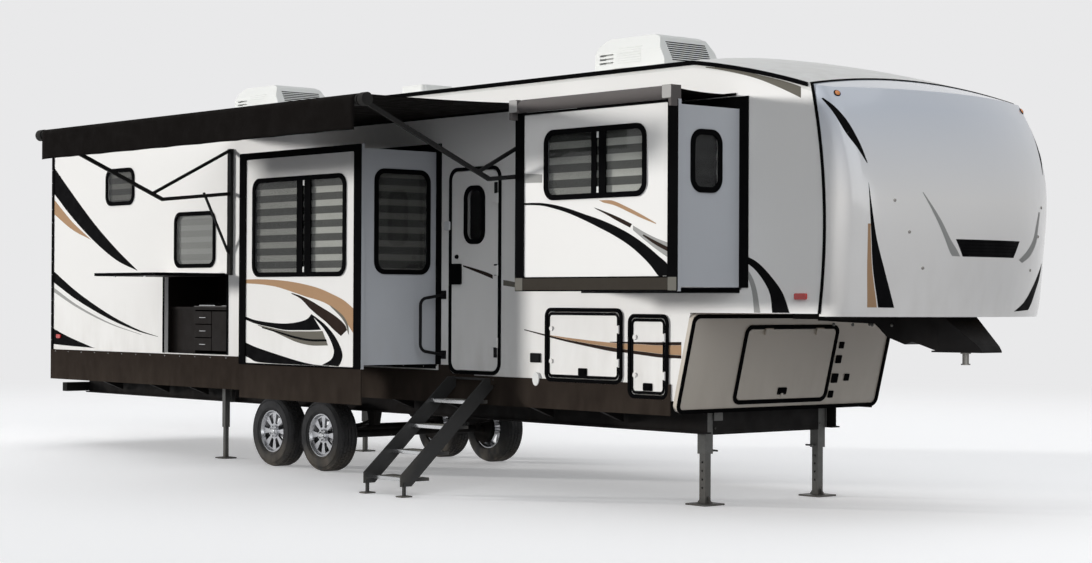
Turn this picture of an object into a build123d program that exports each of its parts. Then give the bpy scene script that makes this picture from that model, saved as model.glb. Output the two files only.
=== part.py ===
from build123d import *
import math
import os

os.makedirs("parts", exist_ok=True)

# A fifth wheel travel trailer, parked on its landing legs, with its slide rooms and awning out.
# Millimetres. X runs forward from the king pin, Y to the left, and Z up from the ground.
# save() lowers each piece by the height of the king pin, so the pin's lower face is the origin.

# Hitch
KING_PIN_Z = 1190.0
PIN_NECK_R = 25.4
PIN_FLANGE_R = 36.5
PIN_FLANGE_T = 9.5
PIN_COLLAR_R = 40.0
PIN_COLLAR_T = 12.0
PIN_PLATE_Z = 1288.0
PIN_PLATE_T = 12.0
PIN_BOX_HALF_W = 215.0
PIN_TIP_HALF_W = 120.0
PIN_TIP_X = 250.0

# Body shell
HALF_W = 1219.0
WALL_T = 45.0
REAR_X = -12210.0
GUTTER_Z = 3580.0
ROOF_CROWN = 90.0
ROOF_T = 60.0
FALL_START_X = -1750.0
CAP_T = 30.0
CAP_LIP = 20.0
SEAM_STRIP_W = 26.0
SEAM_STRIP_T = 6.0
NOSE_REACH_X = 700.0

# The roof's edge beyond the start of its fall: distance forward of the start, drop below the gutter
ROOF_FALL = ((0.0, 0.0), (600.0, 105.0), (1220.0, 260.0), (2000.0, 545.0))

# The joint between side wall and front cap: x, height
SEAM_LOW = (-420.0, 1500.0)
SEAM_MID = (-360.0, 2390.0)
SEAM_HIGH = (-540.0, 3500.0)

# Level sections of the front cap: height, nose x on the centreline, x where the front turns the corner
CAP_SECTIONS = (
    (1500.0, 160.0, -190.0),
    (1950.0, 225.0, -110.0),
    (2330.0, 242.0, -75.0),
    (2700.0, 150.0, -95.0),
    (3050.0, -15.0, -220.0),
    (3350.0, -215.0, -400.0),
    (3750.0, -600.0, -760.0),
)
CORNER_INSET = 99.0

# Floors and frame
FRAME_LOW_Z = 590.0
RAIL_H = 280.0
RAIL_Y = 785.0
RAIL_FLANGE_W = 100.0
RAIL_FLANGE_T = 12.0
RAIL_WEB_T = 10.0
RAIL_REAR_X = -12100.0
RAIL_FRONT_X = -2010.0
FLOOR_T = 130.0
DECK_LOW_Z = 1580.0
DECK_T = 80.0
BULKHEAD_X = -3740.0
BULKHEAD_T = 40.0
BELLY_T = 5.0

# Raked front wall of the basement: its outer face at the deck and at its lower edge
RAKE_TOP = (-1730.0, 1580.0)
RAKE_LOW = (-1940.0, 770.0)
FRONT_WALL_T = 40.0
FRONT_WALL_R = 75.0

# Skirts and trims
SKIRT_LOW_Z = 752.0
SKIRT_REAR_TOP_Z = 1090.0
SKIRT_FRONT_TOP_Z = 1005.0
SKIRT_SPLIT_X = -4480.0
SKIRT_T = 12.0
TRIM_T = 14.0
TRIM_W = 30.0
GUTTER_H = 34.0
CORNER_TRIM_W = 45.0
SEAT = 0.3

# Wheels and axles
TYRE_R = 352.0
TYRE_W = 230.0
RIM_R = 208.0
RIM_LIP = 9.0
WHEEL_Y = 1050.0
AXLE_XS = {"rear": -7780.0, "front": -6930.0}
AXLE_TUBE_R = 38.0
SPINDLE_R = 24.0
HUB_R = 62.0
SPOKES = 8
DRUM_R = 150.0
DRUM_W = 50.0
SPRING_HALF = 385.0
SPRING_T = 42.0
SPRING_W = 60.0
SPRING_RISE = 75.0
SPRING_SEAT = 22.0
HANGER_W = 76.0
ARCH_R = 455.0

# Landing legs and rear stabilisers
LEG_X = -2130.0
LEG_Y = 685.0
LEG_TUBE = 90.0
LEG_TUBE_LOW_Z = 420.0
LEG_INNER = 66.0
FOOT_W = 240.0
FOOT_T = 14.0
STAB_X = -9000.0
STAB_Y = 905.0
STAB_TUBE = 58.0
STAB_FOOT_W = 170.0

# Slide rooms. Each box reaches through the wall and carries an outer panel that laps the opening.
# name, side, rear x, front x, low z, high z, reach from the centreline
SLIDES = (
    ("living_slide", -1, -6940.0, -5000.0, 1060.0, 3045.0, 2092.0),
    ("bedroom_slide", -1, -3090.0, -1200.0, 1745.0, 3196.0, 1929.0),
    ("offside_slide", 1, -10150.0, -5650.0, 1060.0, 3045.0, 1990.0),
)
SLIDE_PANEL_T = 32.0
SLIDE_TRIM_T = 10.0
# Edge mouldings of the outer panels: width at the sides, at the top and at the bottom
SLIDE_EDGES = {
    "living_slide": (105.0, 62.0, 15.0),
    "bedroom_slide": (105.0, 18.0, 115.0),
    "offside_slide": (105.0, 62.0, 15.0),
}
SLIDE_EDGE_R = 12.0
SLIDE_LAP = 34.0
SLIDE_WALL_T = 38.0
SLIDE_INNER_Y = HALF_W - 69.0
SLIDE_GAP = 20.0
WEAR_BAR_L = 300.0
WEAR_BAR_INSET = 220.0
SLIDE_SKIRT_LOW_Z = 745.0
SLIDE_SKIRT_T = 12.0

# Windows: a ring on the outer face, a pane behind it in the hole
RING_W = 42.0
RING_T = 12.0
RING_COVER = 26.0
PANE_T = 6.0
WINDOW_R = 70.0
# Windows in a slide's outer panel: slide, rear x, front x, low z, high z
SLIDE_FACE_WINDOWS = (
    ("living_slide", -6720.0, -5230.0, 1880.0, 2800.0),
    ("bedroom_slide", -2735.0, -1543.0, 2475.0, 3040.0),
    ("offside_slide", -9850.0, -8700.0, 1900.0, 2780.0),
    ("offside_slide", -7500.0, -6250.0, 1900.0, 2780.0),
)
# Windows in a slide's front end: slide, outer y, inner y as distances from the centreline, low z, high z
SLIDE_END_WINDOWS = (
    ("living_slide", 1920.0, 1295.0, 1900.0, 2840.0),
    ("bedroom_slide", 1757.0, 1420.0, 2500.0, 2985.0),
)
# Windows in the side walls: side, rear x, front x, low z, high z
WALL_WINDOWS = (
    (-1, -10980.0, -10370.0, 2700.0, 3110.0),
    (-1, -9530.0, -8730.0, 2000.0, 2590.0),
    (1, -11550.0, -10750.0, 2300.0, 2860.0),
    (1, -4700.0, -4150.0, 2450.0, 2860.0),
    (1, -2750.0, -1750.0, 2350.0, 2950.0),
)
REAR_WINDOW = (-500.0, 500.0, 2250.0, 2800.0)

# Entry door
DOOR_REAR_X = -4800.0
DOOR_FRONT_X = -4150.0
DOOR_LOW_Z = 1050.0
DOOR_HIGH_Z = 2820.0
DOOR_T = 42.0
DOOR_R = 80.0
DOOR_GAP = 6.0
DOOR_WINDOW = (-4620.0, -4330.0, 2170.0, 2690.0)
HINGE_R = 7.0

# Hatches in the right wall: name, rear x, front x, low z, high z
BAGGAGE_DOORS = (
    ("baggage_door_rear", -3480.0, -2590.0, 1020.0, 1575.0),
    ("baggage_door_front", -2445.0, -2048.0, 915.0, 1530.0),
)
HATCH_T = 32.0
HATCH_R = 45.0
# Door in the raked front wall: right y, left y, heights of its lower and upper edges
FRONT_HATCH = (-555.0, 505.0, 865.0, 1445.0)

# Outdoor kitchen: rear x, front x, low z, high z, depth behind the wall
KITCHEN = (-9730.0, -8510.0, 1100.0, 1935.0, 620.0)
KITCHEN_WALL_T = 20.0
KITCHEN_CORNER_R = 1.0
COUNTER_SETBACK = 25.0
FRIDGE_SETBACK = 40.0
COUNTER_Z = 1560.0
COUNTER_T = 30.0
FRIDGE_W = 480.0
FLAP_T = 28.0

# Entry steps
STEP_REAR_X = -4715.0
STEP_FRONT_X = -4180.0
TREAD_Y = -1537.0
TREAD_Z = 798.0
TREAD_RUN = 213.7
TREAD_RISE = 214.3
TREADS = 4
TREAD_D = 235.0
TREAD_T = 28.0
STRINGER_T = 14.0
STRINGER_H = 150.0
STEP_HINGE_Y = -1262.0
STEP_HINGE_Z = 978.0
STEP_PIN_R = 10.0
STEP_PIN_OUT = 10.0
STEP_EAR_T = 12.0
STEP_EAR_GAP = 1.0
STEP_EAR_DROP = 45.0
STEP_TOE = (60.0, 45.0)
STEP_HEAD = (12.0, 14.0)
STEP_TOE_R = 20.0
STEP_LEG_HALF = 12.0
STEP_FOOT_HALF = (45.0, 55.0)
STEP_FOOT_T = 12.0
STEP_FOOT_CLEAR = 2.0

# Awning
AWNING_XS = (-8430.0, -3300.0)
ROLLER_Y = -3330.0
ROLLER_Z = 3240.0
ROLLER_R = 48.0
ROLLER_X0 = -8530.0
ROLLER_X1 = -3222.0
FABRIC_T = 8.0
VALANCE_LOW_Z = 3000.0
AWNING_RAIL_Z = 3330.0
ELBOW = (-2035.0, 2668.0)
CHANNEL_Z = (1920.0, 3210.0)
CHANNEL_W = 62.0
CHANNEL_D = 34.0
ARM_W = 36.0
ARM_T = 26.0

AIR_SETBACK = 2450.0
AIR_LENGTH = 860.0
VENT_SETBACK = 1310.0
# Roof units: rear x, front x, half width, height above the gutter
AIR_CONDITIONERS = (
    (REAR_X + AIR_SETBACK, REAR_X + AIR_SETBACK + AIR_LENGTH, 340.0, 400.0),
    (-3890.0, -2990.0, 340.0, 420.0),
)
# Roof vents: centre x, centre y
ROOF_VENTS = ((REAR_X + VENT_SETBACK, 420.0), (-6300.0, -350.0), (-4700.0, 450.0))


def save(name, shape):
    """Write one node, in the frame whose origin is the king pin's lower face."""
    solids = [Pos(0, 0, -KING_PIN_Z) * solid for solid in shape.solids()]
    export_step(solids[0] if len(solids) == 1 else Compound(solids), f"parts/{name}.step")


# Small builders

def block(x, y, z):
    """A box from three (low, high) pairs, given in either order."""
    spans = [(min(s), max(s)) for s in (x, y, z)]
    centre = [(low + high) / 2 for low, high in spans]
    size = [high - low for low, high in spans]
    return Pos(*centre) * Box(*size)


def group(shapes):
    """Separate solids kept as one node."""
    return Compound([solid for shape in shapes for solid in shape.solids()])


def fuse(shapes):
    """One shape from pieces that meet."""
    total = shapes[0]
    for shape in shapes[1:]:
        total = total + shape
    return total


def along_x(face, x0, x1):
    """Sweep a profile drawn as (y, z) from x0 to x1."""
    return extrude(Plane.YZ.offset(min(x0, x1)) * face, amount=abs(x1 - x0))


def along_y(face, y0, y1):
    """Sweep a profile drawn as (x, z) from y0 to y1."""
    return extrude(Plane.XZ.offset(-max(y0, y1)) * face, amount=abs(y1 - y0))


def along_z(face, z0, z1):
    """Sweep a profile drawn as (x, y) from z0 to z1."""
    return extrude(Plane.XY.offset(min(z0, z1)) * face, amount=abs(z1 - z0))


def polygon(*points):
    """A flat face through points in order."""
    return make_face(Polyline(*points, close=True))


def rounded(a, b, radius):
    """A rounded rectangle face between two (low, high) spans."""
    width = abs(a[1] - a[0])
    height = abs(b[1] - b[0])
    r = min(radius, 0.45 * width, 0.45 * height)
    return Pos((a[0] + a[1]) / 2, (b[0] + b[1]) / 2) * RectangleRounded(width, height, r)


def grow(span, by):
    """A (low, high) span made larger at both ends."""
    return (min(span) - by, max(span) + by)


def around(centre, half):
    """A (low, high) span about a centre."""
    return (centre - half, centre + half)


def rod_x(x0, x1, y, z, r):
    """A round bar along X."""
    return along_x(Pos(y, z) * Circle(r), x0, x1)


def rod_y(y0, y1, x, z, r):
    """A round bar along Y."""
    return along_y(Pos(x, z) * Circle(r), y0, y1)


def rod_z(z0, z1, x, y, r):
    """A round bar along Z."""
    return along_z(Pos(x, y) * Circle(r), z0, z1)


# Shape of the body

def roof_section(x, gutter_z, low_z, half):
    """A cross section of the body: flat sides and a crowned top."""
    top = ThreePointArc((-half, gutter_z), (0, gutter_z + ROOF_CROWN), (half, gutter_z))
    rest = Polyline((half, gutter_z), (half, low_z), (-half, low_z), (-half, gutter_z))
    return Plane.YZ.offset(x) * make_face([top, rest])


def below_roof(drop, half=HALF_W):
    """Everything under the roof's surface, lowered by drop, out to half the width."""
    low_z = SKIRT_LOW_Z - WALL_T
    straight = extrude(roof_section(REAR_X, GUTTER_Z - drop, low_z, half), amount=FALL_START_X - REAR_X)
    stations = [roof_section(FALL_START_X + dx, GUTTER_Z - dz - drop, low_z, half) for dx, dz in ROOF_FALL]
    return straight + loft(stations)


def behind_seam(clearance=0.0):
    """A region behind the joint with the front cap, across the whole width."""
    low, mid, high = [(x - clearance, z) for x, z in (SEAM_LOW, SEAM_MID, SEAM_HIGH)]
    top_z = GUTTER_Z + 2 * ROOF_CROWN
    edges = [
        ThreePointArc(low, mid, high),
        Polyline(high, (high[0], top_z), (REAR_X - WALL_T, top_z), (REAR_X - WALL_T, 0), (low[0], 0), low),
    ]
    return along_y(make_face(edges), -HALF_W - WALL_T, HALF_W + WALL_T)


def cap_section(z, nose_x, corner_x, inset):
    """A level section of the cap: a shallow front arc, two tangent corners and straight sides."""
    half = HALF_W - inset
    corner_y = half - CORNER_INSET
    front_x = nose_x - inset
    turn_x = corner_x - inset
    bow = front_x - turn_x
    front_angle = math.asin(2 * bow * corner_y / (corner_y ** 2 + bow ** 2))
    side_x = turn_x - CORNER_INSET * math.tan((front_angle + math.pi / 2) / 2)
    back_x = FALL_START_X
    heading = (math.sin(front_angle), -math.cos(front_angle))
    front = ThreePointArc((turn_x, corner_y), (front_x, 0), (turn_x, -corner_y))
    right = TangentArc((turn_x, -corner_y), (side_x, -half), tangent=(-heading[0], heading[1]))
    left = right.mirror(Plane.XZ)
    back = Polyline((side_x, -half), (back_x, -half), (back_x, half), (side_x, half))
    return Plane.XY.offset(z) * make_face([front, right, back, left])


def cap_form(inset):
    """The nose as a loft through its level sections."""
    return loft([cap_section(z, nose, corner, inset) for z, nose, corner in CAP_SECTIONS])


def rake_x(z):
    """The raked front wall's outer face at a height."""
    slope = (RAKE_TOP[0] - RAKE_LOW[0]) / (RAKE_TOP[1] - RAKE_LOW[1])
    return RAKE_LOW[0] + slope * (z - RAKE_LOW[1])


def rake_back_x(z):
    """The raked front wall's inner face at a height, where floor and side walls begin."""
    rise = RAKE_TOP[1] - RAKE_LOW[1]
    tilt = math.hypot(RAKE_TOP[0] - RAKE_LOW[0], rise) / rise
    return rake_x(z) - FRONT_WALL_T * tilt


FRAME_TOP_Z = FRAME_LOW_Z + RAIL_H
FLOOR_TOP_Z = FRAME_TOP_Z + FLOOR_T
DECK_TOP_Z = DECK_LOW_Z + DECK_T
INNER_HALF_W = HALF_W - WALL_T
HINGE_Y = HALF_W + TRIM_T + HINGE_R + SEAT


def side_profile():
    """The side wall's outline under the roof: floor line, raked front, deck line and nose."""
    low_z = FRAME_TOP_Z
    top_z = GUTTER_Z + ROOF_CROWN
    return polygon(
        (REAR_X, low_z),
        (rake_back_x(low_z), low_z),
        (rake_back_x(DECK_LOW_Z), DECK_LOW_Z),
        (NOSE_REACH_X, DECK_LOW_Z),
        (NOSE_REACH_X, top_z),
        (REAR_X, top_z),
    )


# Openings

def slide_opening(slide):
    """The hole in a side wall that a slide room passes through."""
    name, side, x0, x1, z0, z1, reach = slide
    x = grow((x0, x1), SLIDE_GAP - SLIDE_LAP)
    z = grow((z0, z1), SLIDE_GAP - SLIDE_LAP)
    return block(x, (side * (INNER_HALF_W - WALL_T), side * (HALF_W + WALL_T)), z)


def wear_bars(slide):
    """Two bars on the sill of a slide's opening, which the room rides on."""
    name, side, x0, x1, z0, z1, reach = slide
    top_z = z0 + SLIDE_LAP - SEAT
    low_z = z0 + SLIDE_LAP - SLIDE_GAP
    starts = (x0 + WEAR_BAR_INSET, x1 - WEAR_BAR_INSET - WEAR_BAR_L)
    return [block((x, x + WEAR_BAR_L), (side * INNER_HALF_W, side * HALF_W), (low_z, top_z)) for x in starts]


def wall_cutter(x, z, radius, side):
    """A rounded hole through one side wall and its skirt."""
    return along_y(rounded(x, z, radius), side * (INNER_HALF_W - WALL_T), side * (HALF_W + WALL_T))


def window_hole(x, z):
    """Spans of the hole behind a window's ring."""
    return grow(x, -RING_COVER), grow(z, -RING_COVER)


def right_wall_cutters():
    """The holes of the right wall: slides, entry door, hatches and kitchen."""
    cutters = [slide_opening(s) for s in SLIDES if s[1] < 0]
    door_x = grow((DOOR_REAR_X, DOOR_FRONT_X), DOOR_GAP)
    door_z = grow((DOOR_LOW_Z, DOOR_HIGH_Z), DOOR_GAP)
    cutters.append(wall_cutter(door_x, door_z, DOOR_R, -1))
    for name, x0, x1, z0, z1 in BAGGAGE_DOORS:
        cutters.append(wall_cutter(grow((x0, x1), DOOR_GAP), grow((z0, z1), DOOR_GAP), HATCH_R, -1))
    cutters.append(wall_cutter(KITCHEN[:2], KITCHEN[2:4], KITCHEN_CORNER_R, -1))
    return cutters


def side_wall(side):
    """One side wall with its openings cut."""
    wall = along_y(side_profile(), side * INNER_HALF_W, side * HALF_W)
    wall = (wall & below_roof(ROOF_T)) & behind_seam(SEAT)
    cutters = right_wall_cutters() if side < 0 else [slide_opening(s) for s in SLIDES if s[1] > 0]
    for wall_side, x0, x1, z0, z1 in WALL_WINDOWS:
        if wall_side == side:
            x, z = window_hole((x0, x1), (z0, z1))
            cutters.append(wall_cutter(x, z, WINDOW_R, side))
    bars = [bar for slide in SLIDES if slide[1] == side for bar in wear_bars(slide)]
    return fuse([wall - cutters] + bars)


def rear_wall():
    """The rear wall between the side walls."""
    wall_z = (FRAME_TOP_Z, GUTTER_Z + ROOF_CROWN)
    wall = block((REAR_X, REAR_X + WALL_T), (-INNER_HALF_W, INNER_HALF_W), wall_z)
    wall = wall & below_roof(ROOF_T)
    y, z = window_hole(REAR_WINDOW[:2], REAR_WINDOW[2:])
    return wall - along_x(rounded(y, z, WINDOW_R), REAR_X - WALL_T, REAR_X + 2 * WALL_T)


def roof():
    """A crowned roof panel that follows the fall towards the nose."""
    return (below_roof(0) - below_roof(ROOF_T)) & behind_seam(SEAT)


def front_cap():
    """The moulded nose: an open shell ahead of the seam."""
    outer = cap_form(0) & below_roof(0)
    inner = cap_form(CAP_T) & below_roof(CAP_T)
    shell = (outer - inner) - behind_seam()
    keep_x = (SEAM_HIGH[0] - HALF_W, NOSE_REACH_X)
    keep_z = (DECK_LOW_Z - CAP_LIP, GUTTER_Z + 2 * ROOF_CROWN)
    return shell & block(keep_x, (-2 * HALF_W, 2 * HALF_W), keep_z)


def deck_floor():
    """The raised floor over the hitch, with the bulkhead at its rear."""
    y = (-INNER_HALF_W, INNER_HALF_W)
    z = (DECK_LOW_Z, DECK_TOP_Z)
    rear = block((BULKHEAD_X, FALL_START_X), y, z)
    nose = cap_form(CAP_T + SEAT) & block((FALL_START_X, NOSE_REACH_X), y, z)
    bulkhead = block((BULKHEAD_X, BULKHEAD_X - BULKHEAD_T), y, (FLOOR_TOP_Z, DECK_TOP_Z))
    return fuse([rear, nose, bulkhead])


def main_floor():
    """The floor slab on the frame, cut at its front by the raked wall."""
    profile = polygon(
        (REAR_X + WALL_T, FRAME_TOP_Z),
        (rake_back_x(FRAME_TOP_Z), FRAME_TOP_Z),
        (rake_back_x(FLOOR_TOP_Z), FLOOR_TOP_Z),
        (REAR_X + WALL_T, FLOOR_TOP_Z),
    )
    return along_y(profile, -INNER_HALF_W, INNER_HALF_W)


def rake_plane():
    """A plane on the raked wall's outer face: local x is body y, local y runs up the rake."""
    up = Vector(RAKE_TOP[0] - RAKE_LOW[0], 0, RAKE_TOP[1] - RAKE_LOW[1]).normalized()
    across = Vector(0, 1, 0)
    return Plane(origin=(RAKE_LOW[0], 0, RAKE_LOW[1]), x_dir=across, z_dir=across.cross(up))


def rake_reach(z):
    """Distance up the rake from its lower edge to a height."""
    slope = math.hypot(RAKE_TOP[0] - RAKE_LOW[0], RAKE_TOP[1] - RAKE_LOW[1])
    return slope * (z - RAKE_LOW[1]) / (RAKE_TOP[1] - RAKE_LOW[1])


def on_rake(y, v, radius, out, depth):
    """A rounded plate on the raked wall: out is how far it stands proud, depth how deep it goes."""
    face = rake_plane().offset(-depth) * rounded(y, v, radius)
    return extrude(face, amount=depth + out)


FRONT_HATCH_Y = FRONT_HATCH[:2]
FRONT_HATCH_V = (rake_reach(FRONT_HATCH[2]), rake_reach(FRONT_HATCH[3]))


def front_wall():
    """The raked wall under the deck, with the hole for its door."""
    panel = on_rake((-HALF_W, HALF_W), (0, rake_reach(DECK_LOW_Z)), FRONT_WALL_R, 0, FRONT_WALL_T)
    y, v = grow(FRONT_HATCH_Y, DOOR_GAP), grow(FRONT_HATCH_V, DOOR_GAP)
    hole = on_rake(y, v, HATCH_R, WALL_T, 2 * FRONT_WALL_T)
    below_deck = block((REAR_X, 0), (-2 * HALF_W, 2 * HALF_W), (0, DECK_LOW_Z))
    return (panel - hole) & below_deck


def step_ears():
    """Two ears on the right skirt that hold the ends of the steps' hinge pin."""
    ears = []
    y = (-HALF_W - SKIRT_T, STEP_HINGE_Y - 2 * STEP_PIN_R)
    z = (STEP_HINGE_Z - STEP_EAR_DROP, STEP_HINGE_Z + 2 * STEP_PIN_R)
    bore = rod_x(STEP_REAR_X - HALF_W, STEP_FRONT_X + HALF_W, STEP_HINGE_Y, STEP_HINGE_Z, STEP_PIN_R + SEAT)
    for side, end_x in ((-1, STEP_REAR_X), (1, STEP_FRONT_X)):
        near_x = end_x + side * STEP_EAR_GAP
        ears.append(block((near_x, near_x + side * STEP_EAR_T), y, z) - bore)
    return ears


def skirt(side):
    """The dark lower skirt of one side, with the wheel arch and hatch notches cut."""
    y = (side * HALF_W, side * (HALF_W + SKIRT_T))
    front_x = rake_back_x(SKIRT_LOW_Z)
    rear = block((REAR_X, SKIRT_SPLIT_X), y, (SKIRT_LOW_Z, SKIRT_REAR_TOP_Z))
    front = block((SKIRT_SPLIT_X, front_x), y, (SKIRT_LOW_Z, SKIRT_FRONT_TOP_Z))
    plate = rear + front
    arch_x = grow((AXLE_XS["rear"], AXLE_XS["front"]), ARCH_R)
    arch_z = (SKIRT_LOW_Z - ARCH_R, TYRE_R + ARCH_R + TRIM_W)
    arch = along_y(rounded(arch_x, arch_z, ARCH_R / 3), 2 * y[0], 0)
    cutters = [arch]
    ring = DOOR_GAP + TRIM_W + 1
    if side < 0:
        for name, x0, x1, z0, z1 in BAGGAGE_DOORS:
            cutters.append(wall_cutter(grow((x0, x1), ring), grow((z0, z1), ring), HATCH_R + TRIM_W, side))
        door_x = grow((DOOR_REAR_X, DOOR_FRONT_X), ring)
        cutters.append(wall_cutter(door_x, grow((DOOR_LOW_Z, DOOR_HIGH_Z), ring), DOOR_R, side))
    for slide in SLIDES:
        if slide[1] == side:
            x = grow(slide[2:4], SLIDE_GAP)
            cutters.append(block(x, y, (slide[4] - SLIDE_GAP, GUTTER_Z)))
    plate = plate - cutters
    return fuse([plate] + step_ears()) if side < 0 else plate


# Rings and panes

def ring_y(x, z, radius, side, face_y, width, thick):
    """A flat ring on a side face, drawn outside the given spans."""
    outer = rounded(grow(x, width), grow(z, width), radius + width)
    inner = rounded(x, z, radius)
    return along_y(outer - inner, side * face_y, side * (face_y + thick))


def window_y(x, z, side, face_y):
    """Ring and pane of a window in a side face."""
    ring = ring_y(grow(x, -RING_W), grow(z, -RING_W), WINDOW_R, side, face_y, RING_W, RING_T)
    hole_x, hole_z = window_hole(x, z)
    pane = along_y(rounded(hole_x, hole_z, WINDOW_R), side * face_y, side * (face_y - PANE_T))
    return ring, pane


def window_x(y, z, face_x, outward):
    """Ring and pane of a window in an end face: outward is 1 towards the nose, else -1."""
    inner_y, inner_z = grow(y, -RING_W), grow(z, -RING_W)
    outer = rounded(y, z, WINDOW_R + RING_W)
    ring = along_x(outer - rounded(inner_y, inner_z, WINDOW_R), face_x, face_x + outward * RING_T)
    hole_y, hole_z = window_hole(y, z)
    pane = along_x(rounded(hole_y, hole_z, WINDOW_R), face_x, face_x - outward * PANE_T)
    return ring, pane


def body_windows():
    """All fixed windows of the body, as rings and panes."""
    pairs = [window_y((x0, x1), (z0, z1), side, HALF_W) for side, x0, x1, z0, z1 in WALL_WINDOWS]
    pairs.append(window_x(REAR_WINDOW[:2], REAR_WINDOW[2:], REAR_X, -1))
    return [p[0] for p in pairs], [p[1] for p in pairs]


def opening_rings():
    """The frames round the entry door and the hatches."""
    door_x = grow((DOOR_REAR_X, DOOR_FRONT_X), DOOR_GAP)
    door_z = grow((DOOR_LOW_Z, DOOR_HIGH_Z), DOOR_GAP)
    rings = [ring_y(door_x, door_z, DOOR_R, -1, HALF_W, TRIM_W, TRIM_T)]
    for name, x0, x1, z0, z1 in BAGGAGE_DOORS:
        x, z = grow((x0, x1), DOOR_GAP), grow((z0, z1), DOOR_GAP)
        rings.append(ring_y(x, z, HATCH_R, -1, HALF_W, TRIM_W, TRIM_T))
    y, v = grow(FRONT_HATCH_Y, DOOR_GAP), grow(FRONT_HATCH_V, DOOR_GAP)
    outer = on_rake(grow(y, TRIM_W), grow(v, TRIM_W), HATCH_R + TRIM_W, TRIM_T, 0)
    rings.append(outer - on_rake(y, v, HATCH_R, TRIM_T, 0))
    return rings


def front_wall_trim():
    """The rounded bead round the raked wall."""
    y, v = (-HALF_W, HALF_W), (0, rake_reach(DECK_LOW_Z) - TRIM_T)
    outer = on_rake(y, v, FRONT_WALL_R, TRIM_T, 0)
    inner = on_rake(grow(y, -TRIM_W), grow(v, -TRIM_W), FRONT_WALL_R - TRIM_W, TRIM_T, 0)
    return outer - inner


def gutter(side):
    """The rail along the roof's edge, straight and then down the fall to the seam."""
    y = (side * HALF_W, side * (HALF_W + TRIM_T))
    points = [(FALL_START_X + dx, GUTTER_Z - dz) for dx, dz in ROOF_FALL[:3]]
    lower = [(x, z - GUTTER_H) for x, z in points]
    edges = [
        ThreePointArc(*points),
        Polyline(points[2], lower[2]),
        ThreePointArc(*reversed(lower)),
        Polyline(lower[0], (REAR_X, lower[0][1]), (REAR_X, GUTTER_Z), points[0]),
    ]
    return along_y(make_face(edges), *y)


def seam_moulding():
    """The strip over the joint of walls, roof and front cap."""
    strip = behind_seam(-SEAM_STRIP_W / 2) - behind_seam(SEAM_STRIP_W / 2)
    skin = below_roof(-SEAM_STRIP_T, HALF_W + SEAM_STRIP_T) - below_roof(0)
    above = block((REAR_X, NOSE_REACH_X), (-2 * HALF_W, 2 * HALF_W), (DECK_LOW_Z, 2 * GUTTER_Z))
    return strip & skin & above


def rear_corner(side):
    """The corner moulding up the rear edge of a side wall."""
    z = (SKIRT_REAR_TOP_Z, GUTTER_Z - GUTTER_H)
    back_x = REAR_X - TRIM_T / 2
    outer_y = side * (HALF_W + TRIM_T / 2)
    leg = block((back_x, REAR_X + CORNER_TRIM_W), (side * HALF_W, outer_y), z)
    return leg + block((back_x, REAR_X), (side * (HALF_W - CORNER_TRIM_W), outer_y), z)


def kitchen_ring():
    """Slim trims at the sides of the outdoor kitchen's opening."""
    x0, x1 = KITCHEN[:2]
    y = (-HALF_W, -HALF_W - TRIM_T / 2)
    return [block(x, y, KITCHEN[2:4]) for x in ((x0 - TRIM_W, x0), (x1, x1 + TRIM_W))]


# Frame and running gear

def frame_rail(side):
    """One main rail: an I section under the floor."""
    y = side * RAIL_Y
    flange_y = (y - RAIL_FLANGE_W / 2, y + RAIL_FLANGE_W / 2)
    x = (RAIL_REAR_X, RAIL_FRONT_X)
    low = block(x, flange_y, (FRAME_LOW_Z, FRAME_LOW_Z + RAIL_FLANGE_T))
    high = block(x, flange_y, (FRAME_TOP_Z - RAIL_FLANGE_T, FRAME_TOP_Z))
    web = block(x, (y - RAIL_WEB_T / 2, y + RAIL_WEB_T / 2), (FRAME_LOW_Z, FRAME_TOP_Z))
    return fuse([low, web, high])


RAIL_INNER_Y = RAIL_Y - RAIL_FLANGE_W / 2
RAIL_OUTER_Y = RAIL_Y + RAIL_FLANGE_W / 2
OUTRIGGER_XS = (-11300.0, -10300.0, -9500.0, -8500.0, -5900.0, -5100.0, -3900.0, -3000.0)
OUTRIGGER_T = 50.0
LEG_BEAM_HALF = 50.0
LEG_MOUNT_HALF = 60.0
LEG_BEAM_Z = (575.0, 770.0)
REAR_MEMBER_W = 80.0
BUMPER_D = 100.0
BUMPER_HALF_W = HALF_W - 139.0
BUMPER_Z = (FRAME_LOW_Z + 15.0, FRAME_LOW_Z + 115.0)
OUTRIGGER_TIP_H = 30.0
OUTRIGGER_ROOT_H = 60.0


def cross_members():
    """The beam between the landing legs, the rear member, the bumper and the outriggers."""
    leg_inner = LEG_Y - LEG_TUBE / 2
    rear_x = (RAIL_REAR_X, RAIL_REAR_X + REAR_MEMBER_W)
    bumper_x = (RAIL_REAR_X - BUMPER_D, RAIL_REAR_X)
    pieces = [
        block(around(LEG_X, LEG_BEAM_HALF), (-leg_inner, leg_inner), LEG_BEAM_Z),
        block(rear_x, (-RAIL_INNER_Y, RAIL_INNER_Y), (FRAME_LOW_Z, FRAME_TOP_Z)),
        block(bumper_x, (-BUMPER_HALF_W, BUMPER_HALF_W), BUMPER_Z),
    ]
    tip_y = INNER_HALF_W
    for x in OUTRIGGER_XS:
        for side in (-1, 1):
            arm = polygon(
                (side * RAIL_OUTER_Y, FRAME_TOP_Z),
                (side * tip_y, FRAME_TOP_Z),
                (side * tip_y, SKIRT_LOW_Z + OUTRIGGER_TIP_H),
                (side * RAIL_OUTER_Y, FRAME_LOW_Z + OUTRIGGER_ROOT_H),
            )
            pieces.append(along_x(arm, x, x + OUTRIGGER_T))
    return group(pieces)


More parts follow.
